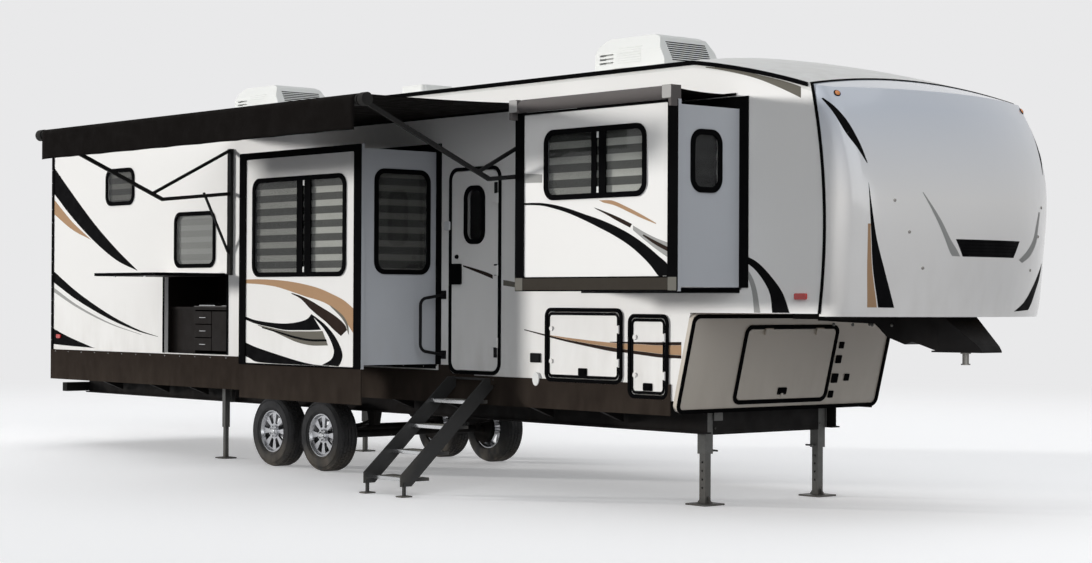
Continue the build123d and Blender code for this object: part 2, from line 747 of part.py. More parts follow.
def belly_panel():
    """The closed underside between the rails."""
    x = (RAIL_REAR_X + REAR_MEMBER_W, LEG_X - LEG_MOUNT_HALF - 1)
    return block(x, (-RAIL_INNER_Y, RAIL_INNER_Y), (FRAME_LOW_Z, FRAME_LOW_Z + BELLY_T))


SPRING_LOW_Z = TYRE_R + AXLE_TUBE_R + SPRING_SEAT
SPRING_LEAVES = 3
LEAF_STEP = 0.22
HANGER_TOP_HALF = 70.0
HANGER_LOW_HALF = 38.0
HANGER_LIFT = -30.0
EQUALISER_HALF = 110.0
EQUALISER_Z = (-12.0, 50.0)
EQUALISER_R = 25.0


def leaf_pack(x):
    """A leaf spring with stepped leaves, arched down to its axle, centred on y = 0."""
    packs = []
    leaf_t = SPRING_T / SPRING_LEAVES
    for index in range(SPRING_LEAVES):
        half = SPRING_HALF * (1 - LEAF_STEP * (SPRING_LEAVES - 1 - index))
        rise = SPRING_RISE * (half / SPRING_HALF) ** 2
        low = SPRING_LOW_Z + leaf_t * index
        tip, top = low + rise, low + rise + leaf_t
        edges = [
            ThreePointArc((x - half, tip), (x, low), (x + half, tip)),
            Line((x + half, tip), (x + half, top)),
            ThreePointArc((x + half, top), (x, low + leaf_t), (x - half, top)),
            Line((x - half, top), (x - half, tip)),
        ]
        packs.append(along_y(make_face(edges), -SPRING_W / 2, SPRING_W / 2))
    return packs


def springs():
    """Both sides' leaf springs with their hangers and the equaliser between the axles."""
    centre_x = (AXLE_XS["rear"] + AXLE_XS["front"]) / 2
    eye_z = SPRING_LOW_Z + SPRING_RISE
    pieces = []
    for x in AXLE_XS.values():
        pieces += leaf_pack(x)
    for x in (AXLE_XS["rear"] - SPRING_HALF, centre_x, AXLE_XS["front"] + SPRING_HALF):
        top, low = around(x, HANGER_TOP_HALF), around(x, HANGER_LOW_HALF)
        low_z = eye_z + HANGER_LIFT
        plate = polygon((top[0], FRAME_LOW_Z), (top[1], FRAME_LOW_Z), (low[1], low_z), (low[0], low_z))
        pieces.append(along_y(plate, -HANGER_W / 2, HANGER_W / 2))
    equaliser_z = (eye_z + EQUALISER_Z[0], eye_z + EQUALISER_Z[1])
    equaliser = rounded(around(centre_x, EQUALISER_HALF), equaliser_z, EQUALISER_R)
    pieces.append(along_y(equaliser, -SPRING_W / 2, SPRING_W / 2))
    one = fuse(pieces)
    return group([Pos(0, side * RAIL_Y, 0) * one for side in (-1, 1)])


DRUM_GAP = 6.0
SPINDLE_OUT = 45.0
SPRING_SEAT_HALF = 55.0


def axle(x):
    """An axle tube with spring seats, brake drums and spindles."""
    z = TYRE_R
    wheel_inner = WHEEL_Y - TYRE_W / 2
    pieces = [rod_y(-wheel_inner, wheel_inner, x, z, AXLE_TUBE_R)]
    for side in (-1, 1):
        inner_y = side * (wheel_inner - DRUM_W)
        pieces.append(rod_y(inner_y, side * (wheel_inner - DRUM_GAP), x, z, DRUM_R))
        pieces.append(rod_y(inner_y, side * (WHEEL_Y + SPINDLE_OUT), x, z, SPINDLE_R))
        seat_y = around(side * RAIL_Y, SPRING_W / 2)
        pieces.append(block(around(x, SPRING_SEAT_HALF), seat_y, (z, SPRING_LOW_Z)))
    return fuse(pieces)


# Points of the tyre's section: distance from the tread or the bead, distance in from the side
TREAD_EDGE = (12.0, 30.0)
SHOULDER = (30.0, 9.0)
BEAD_CURVE = (18.0, 6.0)
BEAD_EDGE = 22.0


def tyre_profile():
    """Half section of the tyre as (radius, across) with rounded shoulders."""
    half = TYRE_W / 2
    wall = (RIM_R + TYRE_R) / 2
    edge_r, edge_y = TYRE_R - TREAD_EDGE[0], half - TREAD_EDGE[1]
    shoulder_r, shoulder_y = TYRE_R - SHOULDER[0], half - SHOULDER[1]
    curve_r, curve_y = RIM_R + BEAD_CURVE[0], half - BEAD_CURVE[1]
    bead_y = half - BEAD_EDGE
    edges = [
        ThreePointArc((edge_r, -edge_y), (TYRE_R, 0), (edge_r, edge_y)),
        ThreePointArc((edge_r, edge_y), (shoulder_r, shoulder_y), (wall, half)),
        ThreePointArc((wall, half), (curve_r, curve_y), (RIM_R, bead_y)),
        Line((RIM_R, bead_y), (RIM_R, -bead_y)),
        ThreePointArc((RIM_R, -bead_y), (curve_r, -curve_y), (wall, -half)),
        ThreePointArc((wall, -half), (shoulder_r, -shoulder_y), (edge_r, -edge_y)),
    ]
    return make_face(edges)


def tyre():
    """A tyre centred on its axis, which lies along Y."""
    return revolve(tyre_profile(), Axis.Y, 360)


RIM_DEPTH = 186.0
RIM_GAP = 0.3
# Corners of the barrel's section: depth below the rim's radius, distance in from its side
BARREL_OUTER = (20.0, 24.0)
BARREL_INNER = (26.0, 24.0)
SPOKE_FACE = 60.0
SPOKE_BACK = 20.0
SPOKE_FRONT = 6.0
HUB_BACK = 30.0
HUB_FRONT = 22.0
# The openings between spokes: inner and outer distance, corner trims and half angle lost to a spoke
POCKET_INNER = 16.0
POCKET_OUTER = 34.0
POCKET_TRIM = (6.0, 14.0)
POCKET_ANGLE = 6.0
BORE_GAP = 0.4
BORE_FLOOR_Y = 55.0


def rim():
    """An eight-spoke alloy rim on the same centre; +Y is its outer side."""
    half = RIM_DEPTH / 2
    r = RIM_R - RIM_GAP
    barrel = polygon(
        (r, -half),
        (r, half),
        (r - RIM_LIP, half),
        (r - BARREL_OUTER[0], half - BARREL_OUTER[1]),
        (r - BARREL_INNER[0], -half + BARREL_INNER[1]),
        (r - RIM_LIP, -half),
    )
    disc = rod_y(SPOKE_FACE - SPOKE_BACK, SPOKE_FACE + SPOKE_FRONT, 0, 0, r - BARREL_OUTER[0])
    hub = rod_y(-half + HUB_BACK, SPOKE_FACE + HUB_FRONT, 0, 0, HUB_R)
    inner_r, outer_r = HUB_R + POCKET_INNER, r - POCKET_OUTER
    slope = math.tan(math.radians(180 / SPOKES - POCKET_ANGLE))
    inner_y, outer_y = inner_r * slope - POCKET_TRIM[0], outer_r * slope - POCKET_TRIM[1]
    pocket = polygon((inner_r, -inner_y), (outer_r, -outer_y), (outer_r, outer_y), (inner_r, inner_y))
    cutter = along_y(pocket, 0, RIM_DEPTH)
    for index in range(SPOKES):
        disc = disc - Rot(0, 360 / SPOKES * (index + 0.5), 0) * cutter
    bore = rod_y(-RIM_DEPTH, BORE_FLOOR_Y, 0, 0, SPINDLE_R + BORE_GAP)
    return fuse([revolve(barrel, Axis.Y, 360), disc, hub]) - bore


# Stands

LEG_HOLES = 4
LEG_HOLE_Z = 140.0
LEG_HOLE_PITCH = 70.0
LEG_HOLE_R = 10.0
FOOT_R = 20.0
GUSSET_HALF_W = 85.0
GUSSET_H = 60.0
GUSSET_HALF_T = 6.0
PULL_PIN_LIFT = 22.0
PULL_PIN_OUT = 60.0
PULL_PIN_R = 9.0
PULL_GRIP_HALF = 38.0
PULL_GRIP_R = 8.0


def leg_foot(x, y, width, radius):
    """A rounded foot plate on the ground."""
    return along_z(rounded(around(x, width / 2), around(y, width / 2), radius), 0, FOOT_T)


def landing_leg(side):
    """A landing leg: outer tube, drop leg with pin holes, foot plate and pull pin."""
    y = side * LEG_Y
    outer = block(around(LEG_X, LEG_TUBE / 2), around(y, LEG_TUBE / 2), (LEG_TUBE_LOW_Z, FRAME_TOP_Z))
    mount_y = (side * (LEG_Y + LEG_TUBE / 2), side * RAIL_INNER_Y)
    mount = block(around(LEG_X, LEG_MOUNT_HALF), mount_y, (FRAME_LOW_Z, FRAME_TOP_Z))
    inner = block(around(LEG_X, LEG_INNER / 2), around(y, LEG_INNER / 2), (FOOT_T, LEG_TUBE_LOW_Z))
    for index in range(LEG_HOLES):
        hole_z = LEG_HOLE_Z + LEG_HOLE_PITCH * index
        inner = inner - rod_y(*around(y, LEG_TUBE), LEG_X, hole_z, LEG_HOLE_R)
    wide, slim = around(LEG_X, GUSSET_HALF_W), around(LEG_X, LEG_INNER / 2)
    top_z = FOOT_T + GUSSET_H
    gusset = polygon((wide[0], FOOT_T), (wide[1], FOOT_T), (slim[1], top_z), (slim[0], top_z))
    pin_z = LEG_TUBE_LOW_Z + PULL_PIN_LIFT
    grip_y = side * (LEG_Y - LEG_TUBE / 2 - PULL_PIN_OUT)
    pin = rod_y(y, grip_y, LEG_X, pin_z, PULL_PIN_R)
    grip = rod_x(*around(LEG_X, PULL_GRIP_HALF), grip_y, pin_z, PULL_GRIP_R)
    foot = leg_foot(LEG_X, y, FOOT_W, FOOT_R)
    return fuse([outer, mount, inner, foot, along_y(gusset, *around(y, GUSSET_HALF_T)), pin, grip])


STAB_TUBE_LOW_Z = 330.0
STAB_TUBE_T = 8.0
STAB_MOUNT_HALF = 60.0
STAB_FOOT_R = 14.0


def stabiliser(side):
    """A rear stabiliser leg hung beside the rail."""
    y = side * STAB_Y
    outer = block(around(STAB_X, STAB_TUBE / 2), around(y, STAB_TUBE / 2), (STAB_TUBE_LOW_Z, FRAME_TOP_Z))
    mount_y = (side * RAIL_OUTER_Y, side * (STAB_Y - STAB_TUBE / 2))
    mount = block(around(STAB_X, STAB_MOUNT_HALF), mount_y, (FRAME_LOW_Z, FRAME_TOP_Z))
    inner_half = STAB_TUBE / 2 - STAB_TUBE_T
    inner = block(around(STAB_X, inner_half), around(y, inner_half), (FOOT_T, STAB_TUBE_LOW_Z))
    return fuse([outer, mount, inner, leg_foot(STAB_X, y, STAB_FOOT_W, STAB_FOOT_R)])


# Hitch

# The pin box's underside from its rear end towards the plate: x, height
PIN_BOX_UNDER = (
    (-1250.0, 1520.0),
    (-726.0, 1500.0),
    (-603.0, 1398.0),
    (-423.0, 1342.0),
    (-348.0, 1366.0),
    (-120.0, PIN_PLATE_Z + PIN_PLATE_T),
)
# The pin box's plan from its rear end forward: x, half width
PIN_BOX_PLAN = (
    (-1250.0, PIN_BOX_HALF_W + 80.0),
    (-700.0, PIN_BOX_HALF_W),
    (-100.0, PIN_BOX_HALF_W),
    (PIN_TIP_X, PIN_TIP_HALF_W),
)
# The plate's plan: x, half width
PIN_PLATE_PLAN = ((-160.0, PIN_BOX_HALF_W), (-60.0, PIN_BOX_HALF_W), (PIN_TIP_X, PIN_TIP_HALF_W))
PIN_TIP_SLOPE = (30.0, 38.0)
PIN_BOX_TOP_X = -80.0
PIN_WING_X = (-1150.0, -500.0)
PIN_WING_LAP = 10.0
PIN_WING_INSET = 519.0
PIN_WING_Y = HALF_W - PIN_WING_INSET
PIN_WING_T = 45.0


def mirrored_plan(points):
    """A face from (x, half width) points, the same on both sides."""
    return polygon(*[(x, -half) for x, half in points], *[(x, half) for x, half in reversed(points)])


def pin_box():
    """The welded box that reaches down and forward from the deck to the king pin plate."""
    plate_top = PIN_PLATE_Z + PIN_PLATE_T
    side_view = polygon(
        (PIN_BOX_UNDER[0][0], DECK_LOW_Z),
        *PIN_BOX_UNDER,
        (PIN_TIP_X, plate_top),
        (PIN_TIP_X - PIN_TIP_SLOPE[0], plate_top + PIN_TIP_SLOPE[1]),
        (PIN_BOX_TOP_X, DECK_LOW_Z),
    )
    plan = along_z(mirrored_plan(PIN_BOX_PLAN), PIN_PLATE_Z, DECK_LOW_Z)
    body = along_y(side_view, -HALF_W, HALF_W) & plan
    plate = along_z(mirrored_plan(PIN_PLATE_PLAN), PIN_PLATE_Z, plate_top)
    wing_z = (DECK_LOW_Z - PIN_WING_T, DECK_LOW_Z)
    root_y = PIN_BOX_HALF_W - PIN_WING_LAP
    wings = [block(PIN_WING_X, (side * root_y, side * PIN_WING_Y), wing_z) for side in (-1, 1)]
    return fuse([body, plate] + wings)


def king_pin():
    """The king pin with its collar, neck and lower flange."""
    neck_top = PIN_PLATE_Z - PIN_COLLAR_T
    collar = rod_z(neck_top, PIN_PLATE_Z, 0, 0, PIN_COLLAR_R)
    neck = rod_z(KING_PIN_Z, neck_top, 0, 0, PIN_NECK_R)
    flange = rod_z(KING_PIN_Z, KING_PIN_Z + PIN_FLANGE_T, 0, 0, PIN_FLANGE_R)
    return fuse([collar, neck, flange])


# Slide rooms

def slide_spans(slide):
    """Spans of a slide's tube, which fits the wall opening with a gap."""
    name, side, x0, x1, z0, z1, reach = slide
    return grow((x0, x1), -SLIDE_LAP), grow((z0, z1), -SLIDE_LAP)


def slide_shell(slide):
    """A slide room: four walls and an outer panel, open towards the cabin, windows cut."""
    name, side, x0, x1, z0, z1, reach = slide
    tube_x, tube_z = slide_spans(slide)
    panel_out = reach - SLIDE_TRIM_T
    panel_in = panel_out - SLIDE_PANEL_T
    tube = block(tube_x, (side * SLIDE_INNER_Y, side * panel_in), tube_z)
    hollow_y = (side * (SLIDE_INNER_Y - WALL_T), side * panel_in)
    tube = tube - block(grow(tube_x, -SLIDE_WALL_T), hollow_y, grow(tube_z, -SLIDE_WALL_T))
    shell = tube + block((x0, x1), (side * panel_in, side * panel_out), (z0, z1))
    for owner, wx0, wx1, wz0, wz1 in SLIDE_FACE_WINDOWS:
        if owner == name:
            x, z = window_hole((wx0, wx1), (wz0, wz1))
            shell = shell - along_y(rounded(x, z, WINDOW_R), side * (panel_in - WALL_T), side * reach)
    for owner, outer_y, inner_y, wz0, wz1 in SLIDE_END_WINDOWS:
        if owner == name:
            y, z = window_hole((side * outer_y, side * inner_y), (wz0, wz1))
            end_x = tube_x[1]
            shell = shell - along_x(rounded(y, z, WINDOW_R), end_x - 2 * SLIDE_WALL_T, end_x + WALL_T)
    return shell


def slide_windows(slide):
    """Rings and panes of one slide room."""
    name, side, x0, x1, z0, z1, reach = slide
    pairs = []
    for owner, wx0, wx1, wz0, wz1 in SLIDE_FACE_WINDOWS:
        if owner == name:
            pairs.append(window_y((wx0, wx1), (wz0, wz1), side, reach - SLIDE_TRIM_T))
    end_x = slide_spans(slide)[0][1]
    for owner, outer_y, inner_y, wz0, wz1 in SLIDE_END_WINDOWS:
        if owner == name:
            pairs.append(window_x((side * outer_y, side * inner_y), (wz0, wz1), end_x, 1))
    return [p[0] for p in pairs], [p[1] for p in pairs]


def slide_trim(slide):
    """Black edge mouldings on the outer panel and the window rings."""
    name, side, x0, x1, z0, z1, reach = slide
    edge_w, top_h, low_h = SLIDE_EDGES[name]
    inner = rounded((x0 + edge_w, x1 - edge_w), (z0 + low_h, z1 - top_h), SLIDE_EDGE_R)
    edge = rounded((x0, x1), (z0, z1), SLIDE_EDGE_R) - inner
    frame = along_y(edge, side * (reach - SLIDE_TRIM_T), side * reach)
    rings, panes = slide_windows(slide)
    return group([frame] + rings)


def living_skirt(slide):
    """The dark plate that hangs below the living slide's outer panel."""
    name, side, x0, x1, z0, z1, reach = slide
    y = (side * (reach - SLIDE_TRIM_T - SLIDE_SKIRT_T), side * (reach - SLIDE_TRIM_T))
    return block((x0, x1), y, (SLIDE_SKIRT_LOW_Z, z0))


TOPPER_R = 52.0
TOPPER_CAP_W = 98.0
TOPPER_BRACKET_W = 30.0
TOPPER_BACK_GAP = 5.0
TOPPER_BRACKET_H = 55.0


def slide_topper(slide):
    """The roller carried above the bedroom slide's outer edge, on a bracket at each end."""
    name, side, x0, x1, z0, z1, reach = slide
    z = z1 + TOPPER_R + SEAT
    near_y = reach - SLIDE_TRIM_T - SLIDE_PANEL_T + TOPPER_BACK_GAP
    far_y = near_y + 2 * TOPPER_R
    y = side * (near_y + TOPPER_R)
    pieces = [rod_x(x0 + TOPPER_CAP_W, x1 - TOPPER_CAP_W, y, z, TOPPER_R)]
    for outer_x, inward in ((x0, 1), (x1, -1)):
        cap_x = (outer_x, outer_x + inward * TOPPER_CAP_W)
        bracket_x = (outer_x, outer_x + inward * TOPPER_BRACKET_W)
        pieces.append(block(cap_x, (side * near_y, side * far_y), (z1 + SEAT, z + TOPPER_R)))
        pieces.append(block(bracket_x, (side * reach, side * far_y), (z1 - TOPPER_BRACKET_H, z1 + TOPPER_R)))
    return fuse(pieces)


# Entry

HINGE_CLEAR = 2.0
HINGE_EDGE = 4.0
HINGE_LINK_GAP = 1.0
DOOR_FACE_Y = HALF_W + TRIM_T / 2
DOOR_HINGE_INSET = 250.0
DOOR_HANDLE_X = (45.0, 115.0)
DOOR_HANDLE_Z = (1820.0, 1990.0)
DOOR_HANDLE_R = 20.0
DOOR_HANDLE_OUT = 22.0
# Half height of a knuckle, half height of its strap, width of its strap
DOOR_HINGE = (45.0, 40.0, 60.0)
HATCH_HINGE = (35.0, 30.0, 45.0)
HATCH_HINGE_SHARE = 0.25
HATCH_LATCH_INSET = 45.0
HATCH_LATCH_R = 20.0
HATCH_LATCH_OUT = 10.0


def side_hinge(edge_x, z, sizes):
    """Knuckle, strap and link of one hinge at a leaf's front edge on the right wall."""
    knuckle_half, strap_half, strap_w = sizes
    hinge_x = edge_x + DOOR_GAP + HINGE_CLEAR
    out_y = -HINGE_Y - HINGE_R
    strap_z = around(z, strap_half)
    return [
        rod_z(*around(z, knuckle_half), hinge_x, -HINGE_Y, HINGE_R),
        block((edge_x - strap_w, edge_x - HINGE_EDGE), (out_y, -DOOR_FACE_Y), strap_z),
        block((edge_x - strap_w, hinge_x), (out_y, -HINGE_Y - HINGE_LINK_GAP), strap_z),
    ]


def entry_door():
    """The outward opening door with its hinge knuckles, cut for its window."""
    x, z = (DOOR_REAR_X, DOOR_FRONT_X), (DOOR_LOW_Z, DOOR_HIGH_Z)
    leaf = along_y(rounded(x, z, DOOR_R), -DOOR_FACE_Y, -DOOR_FACE_Y + DOOR_T)
    hole_x, hole_z = window_hole(DOOR_WINDOW[:2], DOOR_WINDOW[2:])
    leaf = leaf - along_y(rounded(hole_x, hole_z, WINDOW_R), -HALF_W - WALL_T, -INNER_HALF_W + WALL_T)
    pieces = [leaf]
    for hinge_z in (z[0] + DOOR_HINGE_INSET, (z[0] + z[1]) / 2, z[1] - DOOR_HINGE_INSET):
        pieces += side_hinge(DOOR_FRONT_X, hinge_z, DOOR_HINGE)
    handle_x = (DOOR_REAR_X + DOOR_HANDLE_X[0], DOOR_REAR_X + DOOR_HANDLE_X[1])
    handle = rounded(handle_x, DOOR_HANDLE_Z, DOOR_HANDLE_R)
    pieces.append(along_y(handle, -DOOR_FACE_Y, -DOOR_FACE_Y - DOOR_HANDLE_OUT))
    return fuse(pieces)


def entry_door_window():
    """Ring and pane in the entry door."""
    return window_y(DOOR_WINDOW[:2], DOOR_WINDOW[2:], -1, DOOR_FACE_Y)


def baggage_door(spec):
    """A hatch hinged on its front edge, with two latches at the rear."""
    name, x0, x1, z0, z1 = spec
    leaf = along_y(rounded((x0, x1), (z0, z1), HATCH_R), -DOOR_FACE_Y, -DOOR_FACE_Y + HATCH_T)
    pieces = [leaf]
    inset = HATCH_HINGE_SHARE * (z1 - z0)
    for z in (z0 + inset, z1 - inset):
        pieces += side_hinge(x1, z, HATCH_HINGE)
        latch_y = (-DOOR_FACE_Y, -DOOR_FACE_Y - HATCH_LATCH_OUT)
        pieces.append(rod_y(*latch_y, x0 + HATCH_LATCH_INSET, z, HATCH_LATCH_R))
    return fuse(pieces)


FRONT_HINGE_OUT = TRIM_T + HINGE_R + SEAT
FRONT_HINGE_V = FRONT_HATCH_V[1] + DOOR_GAP + HINGE_CLEAR
FRONT_HINGE_INSET = 220.0
FRONT_STRAP_R = 2.0
FRONT_LATCH_HALF = 14.0
FRONT_LATCH_V = (12.0, 62.0)
FRONT_LATCH_R = 8.0
FRONT_LATCH_OUT = 10.0


def rake_hinge(y):
    """Knuckle, strap and link of one hinge at the front hatch's upper edge."""
    knuckle_half, strap_half, strap_w = DOOR_HINGE[0], DOOR_HINGE[1], HATCH_HINGE[2]
    plane = rake_plane()
    knuckle = Rot(0, 90, 0) * Cylinder(HINGE_R, 2 * knuckle_half)
    strap_low = FRONT_HATCH_V[1] - strap_w
    strap = rounded(around(y, strap_half), (strap_low, FRONT_HATCH_V[1] - HINGE_EDGE), FRONT_STRAP_R)
    link = rounded(around(y, strap_half), (strap_low, FRONT_HINGE_V), FRONT_STRAP_R)
    strap_t = FRONT_HINGE_OUT + HINGE_R - TRIM_T / 2
    return [
        plane * (Pos(y, FRONT_HINGE_V, FRONT_HINGE_OUT) * knuckle),
        extrude(plane.offset(TRIM_T / 2) * strap, amount=strap_t),
        extrude(plane.offset(FRONT_HINGE_OUT + HINGE_LINK_GAP) * link, amount=HINGE_R - HINGE_LINK_GAP),
    ]


def front_compartment_door():
    """The compartment door in the raked wall, hinged along its upper edge."""
    pieces = [on_rake(FRONT_HATCH_Y, FRONT_HATCH_V, HATCH_R, TRIM_T / 2, HATCH_T - TRIM_T / 2)]
    for y in (FRONT_HATCH_Y[0] + FRONT_HINGE_INSET, FRONT_HATCH_Y[1] - FRONT_HINGE_INSET):
        pieces += rake_hinge(y)
    middle = (FRONT_HATCH_Y[0] + FRONT_HATCH_Y[1]) / 2
    latch_v = (FRONT_HATCH_V[0] + FRONT_LATCH_V[0], FRONT_HATCH_V[0] + FRONT_LATCH_V[1])
    latch_y = around(middle, FRONT_LATCH_HALF)
    pieces.append(on_rake(latch_y, latch_v, FRONT_LATCH_R, TRIM_T / 2 + FRONT_LATCH_OUT, 0))
    return fuse(pieces)


GRAB_X = -4915.0
GRAB_Z = (1180.0, 1720.0)
GRAB_OUT = 270.0
GRAB_R = 14.0
GRAB_ROOT = 8.0
GRAB_SLOPE = 40.0
GRAB_BEND_R = 70.0
# Half width, half height and thickness of a foot
GRAB_FOOT = (30.0, 38.0, 12.0)


def grab_handle():
    """The long bent handle beside the entry, standing out from the wall on two feet."""
    y_wall, y_out = -HALF_W - GRAB_ROOT, -HALF_W - GRAB_OUT
    path = FilletPolyline(
        (GRAB_X, y_wall, GRAB_Z[0]),
        (GRAB_X, y_out, GRAB_Z[0] + GRAB_SLOPE),
        (GRAB_X, y_out, GRAB_Z[1] - GRAB_SLOPE),
        (GRAB_X, y_wall, GRAB_Z[1]),
        radius=GRAB_BEND_R,
    )
    start = Plane(origin=path @ 0, z_dir=path % 0)
    bar = sweep(start * Circle(GRAB_R), path=path)
    foot_x, foot_y = around(GRAB_X, GRAB_FOOT[0]), (-HALF_W, -HALF_W - GRAB_FOOT[2])
    feet = [block(foot_x, foot_y, around(z, GRAB_FOOT[1])) for z in GRAB_Z]
    return fuse([bar] + feet)


def entry_steps():
    """Folding steps: two stringers, open treads and adjustable feet, hinged at the sill."""
    stringer_x = ((STEP_REAR_X, STEP_REAR_X + STRINGER_T), (STEP_FRONT_X - STRINGER_T, STEP_FRONT_X))
    last = TREADS - 1
    toe = (TREAD_Y - TREAD_RUN * last - STEP_TOE[0], TREAD_Z - TREAD_RISE * last - STEP_TOE[1])
    half = STRINGER_H / 2
    head_y, head_z = STEP_HINGE_Y + STEP_HEAD[0], STEP_HINGE_Z + STEP_HEAD[1]
    toe_y, toe_z = toe[0] - STEP_TOE_R, toe[1] - STEP_TOE_R
    profile = polygon(
        (head_y, head_z),
        (STEP_HINGE_Y - half, head_z),
        (toe_y, toe[1] + half),
        (toe_y, toe_z),
        (toe[0] + half + STEP_TOE_R, toe_z),
        (head_y, STEP_HINGE_Z - half),
    )
    pieces = [along_x(profile, *x) for x in stringer_x]
    for index in range(TREADS):
        y = TREAD_Y - TREAD_RUN * index
        z = TREAD_Z - TREAD_RISE * index
        tread_x = (STEP_REAR_X + STRINGER_T, STEP_FRONT_X - STRINGER_T)
        pieces.append(block(tread_x, (y, y + TREAD_D), (z - TREAD_T, z)))
    pin_x = (STEP_REAR_X - STEP_PIN_OUT, STEP_FRONT_X + STEP_PIN_OUT)
    pieces.append(rod_x(*pin_x, STEP_HINGE_Y, STEP_HINGE_Z, STEP_PIN_R))
    foot_y = toe[0] + STEP_TOE_R
    foot_z = (STEP_FOOT_CLEAR, STEP_FOOT_CLEAR + STEP_FOOT_T)
    for x in stringer_x:
        middle = (x[0] + x[1]) / 2
        leg_xy = (around(middle, STEP_LEG_HALF), around(foot_y, STEP_LEG_HALF))
        foot_xy = (around(middle, STEP_FOOT_HALF[0]), around(foot_y, STEP_FOOT_HALF[1]))
        pieces += [block(*leg_xy, (STEP_FOOT_CLEAR, toe[1] + STEP_TOE_R)), block(*foot_xy, foot_z)]
    return fuse(pieces)


# Outdoor kitchen

def kitchen_box():
    """The open fronted recess with its counter and small fridge."""
    x0, x1, z0, z1, depth = KITCHEN
    y = (-INNER_HALF_W, -INNER_HALF_W + depth)
    t = KITCHEN_WALL_T
    outer = block(grow((x0, x1), t), (y[0], y[1] + t), grow((z0, z1), t))
    hollow = block((x0, x1), (y[0] - WALL_T, y[1]), (z0, z1))
    fridge = block((x0, x0 + FRIDGE_W), (y[0] + FRIDGE_SETBACK, y[1]), (z0, COUNTER_Z))
    counter = block((x0, x1), (y[0] + COUNTER_SETBACK, y[1]), (COUNTER_Z, COUNTER_Z + COUNTER_T))
    return fuse([outer - hollow, fridge, counter])


KITCHEN_HINGE_Y = -HALF_W - HINGE_R - SEAT
KITCHEN_HINGE_Z = KITCHEN[3] + HINGE_R + 1.0
FLAP_HINGE_INSET = 150.0
FLAP_KNUCKLE_HALF = 50.0
FLAP_STRAP_D = 30.0
FLAP_STRAP_T = 5.0


def kitchen_flap():
    """The kitchen's lid, held open level on its hinge at the top of the opening."""
    x0, x1, z0, z1 = KITCHEN[:4]
    near_y = KITCHEN_HINGE_Y - (KITCHEN_HINGE_Z - z1 + DOOR_GAP)
    far_y = near_y - (z1 - z0 - 2 * DOOR_GAP)
    z = (KITCHEN_HINGE_Z - FLAP_T - DOOR_GAP, KITCHEN_HINGE_Z - DOOR_GAP)
    pieces = [block((x0 + DOOR_GAP, x1 - DOOR_GAP), (far_y, near_y), z)]
    strap_y = (near_y - FLAP_STRAP_D, KITCHEN_HINGE_Y)
    strap_z = (KITCHEN_HINGE_Z - HINGE_R, KITCHEN_HINGE_Z - HINGE_R + FLAP_STRAP_T)
    for x in (x0 + FLAP_HINGE_INSET, (x0 + x1) / 2, x1 - FLAP_HINGE_INSET):
        knuckle_x = around(x, FLAP_KNUCKLE_HALF)
        pieces.append(rod_x(*knuckle_x, KITCHEN_HINGE_Y, KITCHEN_HINGE_Z, HINGE_R))
        pieces.append(block(knuckle_x, strap_y, strap_z))
    return fuse(pieces)


# Awning

RAFTER_DROP = 20.0
ARM_FOOT_Z = 2750.0
RAFTER_SHARE = 0.09
RAFTER_W = 0.8 * ARM_W
STRUT_W = 0.5 * ARM_W
STRUT_LIFT = 220.0
STRUT_END = (330.0, 2745.0)
ROLLER_END_LIP = 6.0
CLOTH_INSET = 12.0
RAIL_SPAN_Z = (-14.0, 24.0)
RAIL_OVERHANG = 60.0


def bar_yz(p, q, width, x):
    """A flat bar between two (y, z) points, centred on x."""
    length = math.hypot(q[0] - p[0], q[1] - p[1])
    angle = math.degrees(math.atan2(q[1] - p[1], q[0] - p[0]))
    face = Pos((p[0] + q[0]) / 2, (p[1] + q[1]) / 2) * Rot(0, 0, angle) * SlotOverall(length + width, width)
    return along_x(face, x - ARM_T / 2, x + ARM_T / 2)


def awning_arm(x):
    """One scissor arm with its channel on the wall."""
    pivot_y = -HALF_W - CHANNEL_D
    rafter_top = (pivot_y, CHANNEL_Z[1] - RAFTER_DROP)
    roller = (ROLLER_Y, ROLLER_Z)
    joint = tuple(low + RAFTER_SHARE * (high - low) for low, high in zip(ELBOW, roller))
    strut = ((pivot_y, CHANNEL_Z[0] + STRUT_LIFT), (-HALF_W - STRUT_END[0], STRUT_END[1]))
    pieces = [
        block(around(x, CHANNEL_W / 2), (-HALF_W, pivot_y), CHANNEL_Z),
        bar_yz((pivot_y, ARM_FOOT_Z), ELBOW, ARM_W, x),
        bar_yz(ELBOW, roller, ARM_W, x),
        bar_yz(joint, rafter_top, RAFTER_W, x),
        bar_yz(*strut, STRUT_W, x),
    ]
    return fuse(pieces)


def awning_arms():
    """Both arms of the awning."""
    return group([awning_arm(x) for x in AWNING_XS])


def awning_roller():
    """The roller tube between the arms, with a bracket at each arm's end."""
    off_arm = ARM_T / 2 + SEAT
    tube_x = (AWNING_XS[0] + off_arm, AWNING_XS[1] - off_arm)
    end_xs = ((ROLLER_X0, AWNING_XS[0] - off_arm), (AWNING_XS[1] + off_arm, ROLLER_X1))
    tube = rod_x(*tube_x, ROLLER_Y, ROLLER_Z, ROLLER_R)
    ends = [rod_x(*x, ROLLER_Y, ROLLER_Z, ROLLER_R + ROLLER_END_LIP) for x in end_xs]
    return group([tube] + ends)


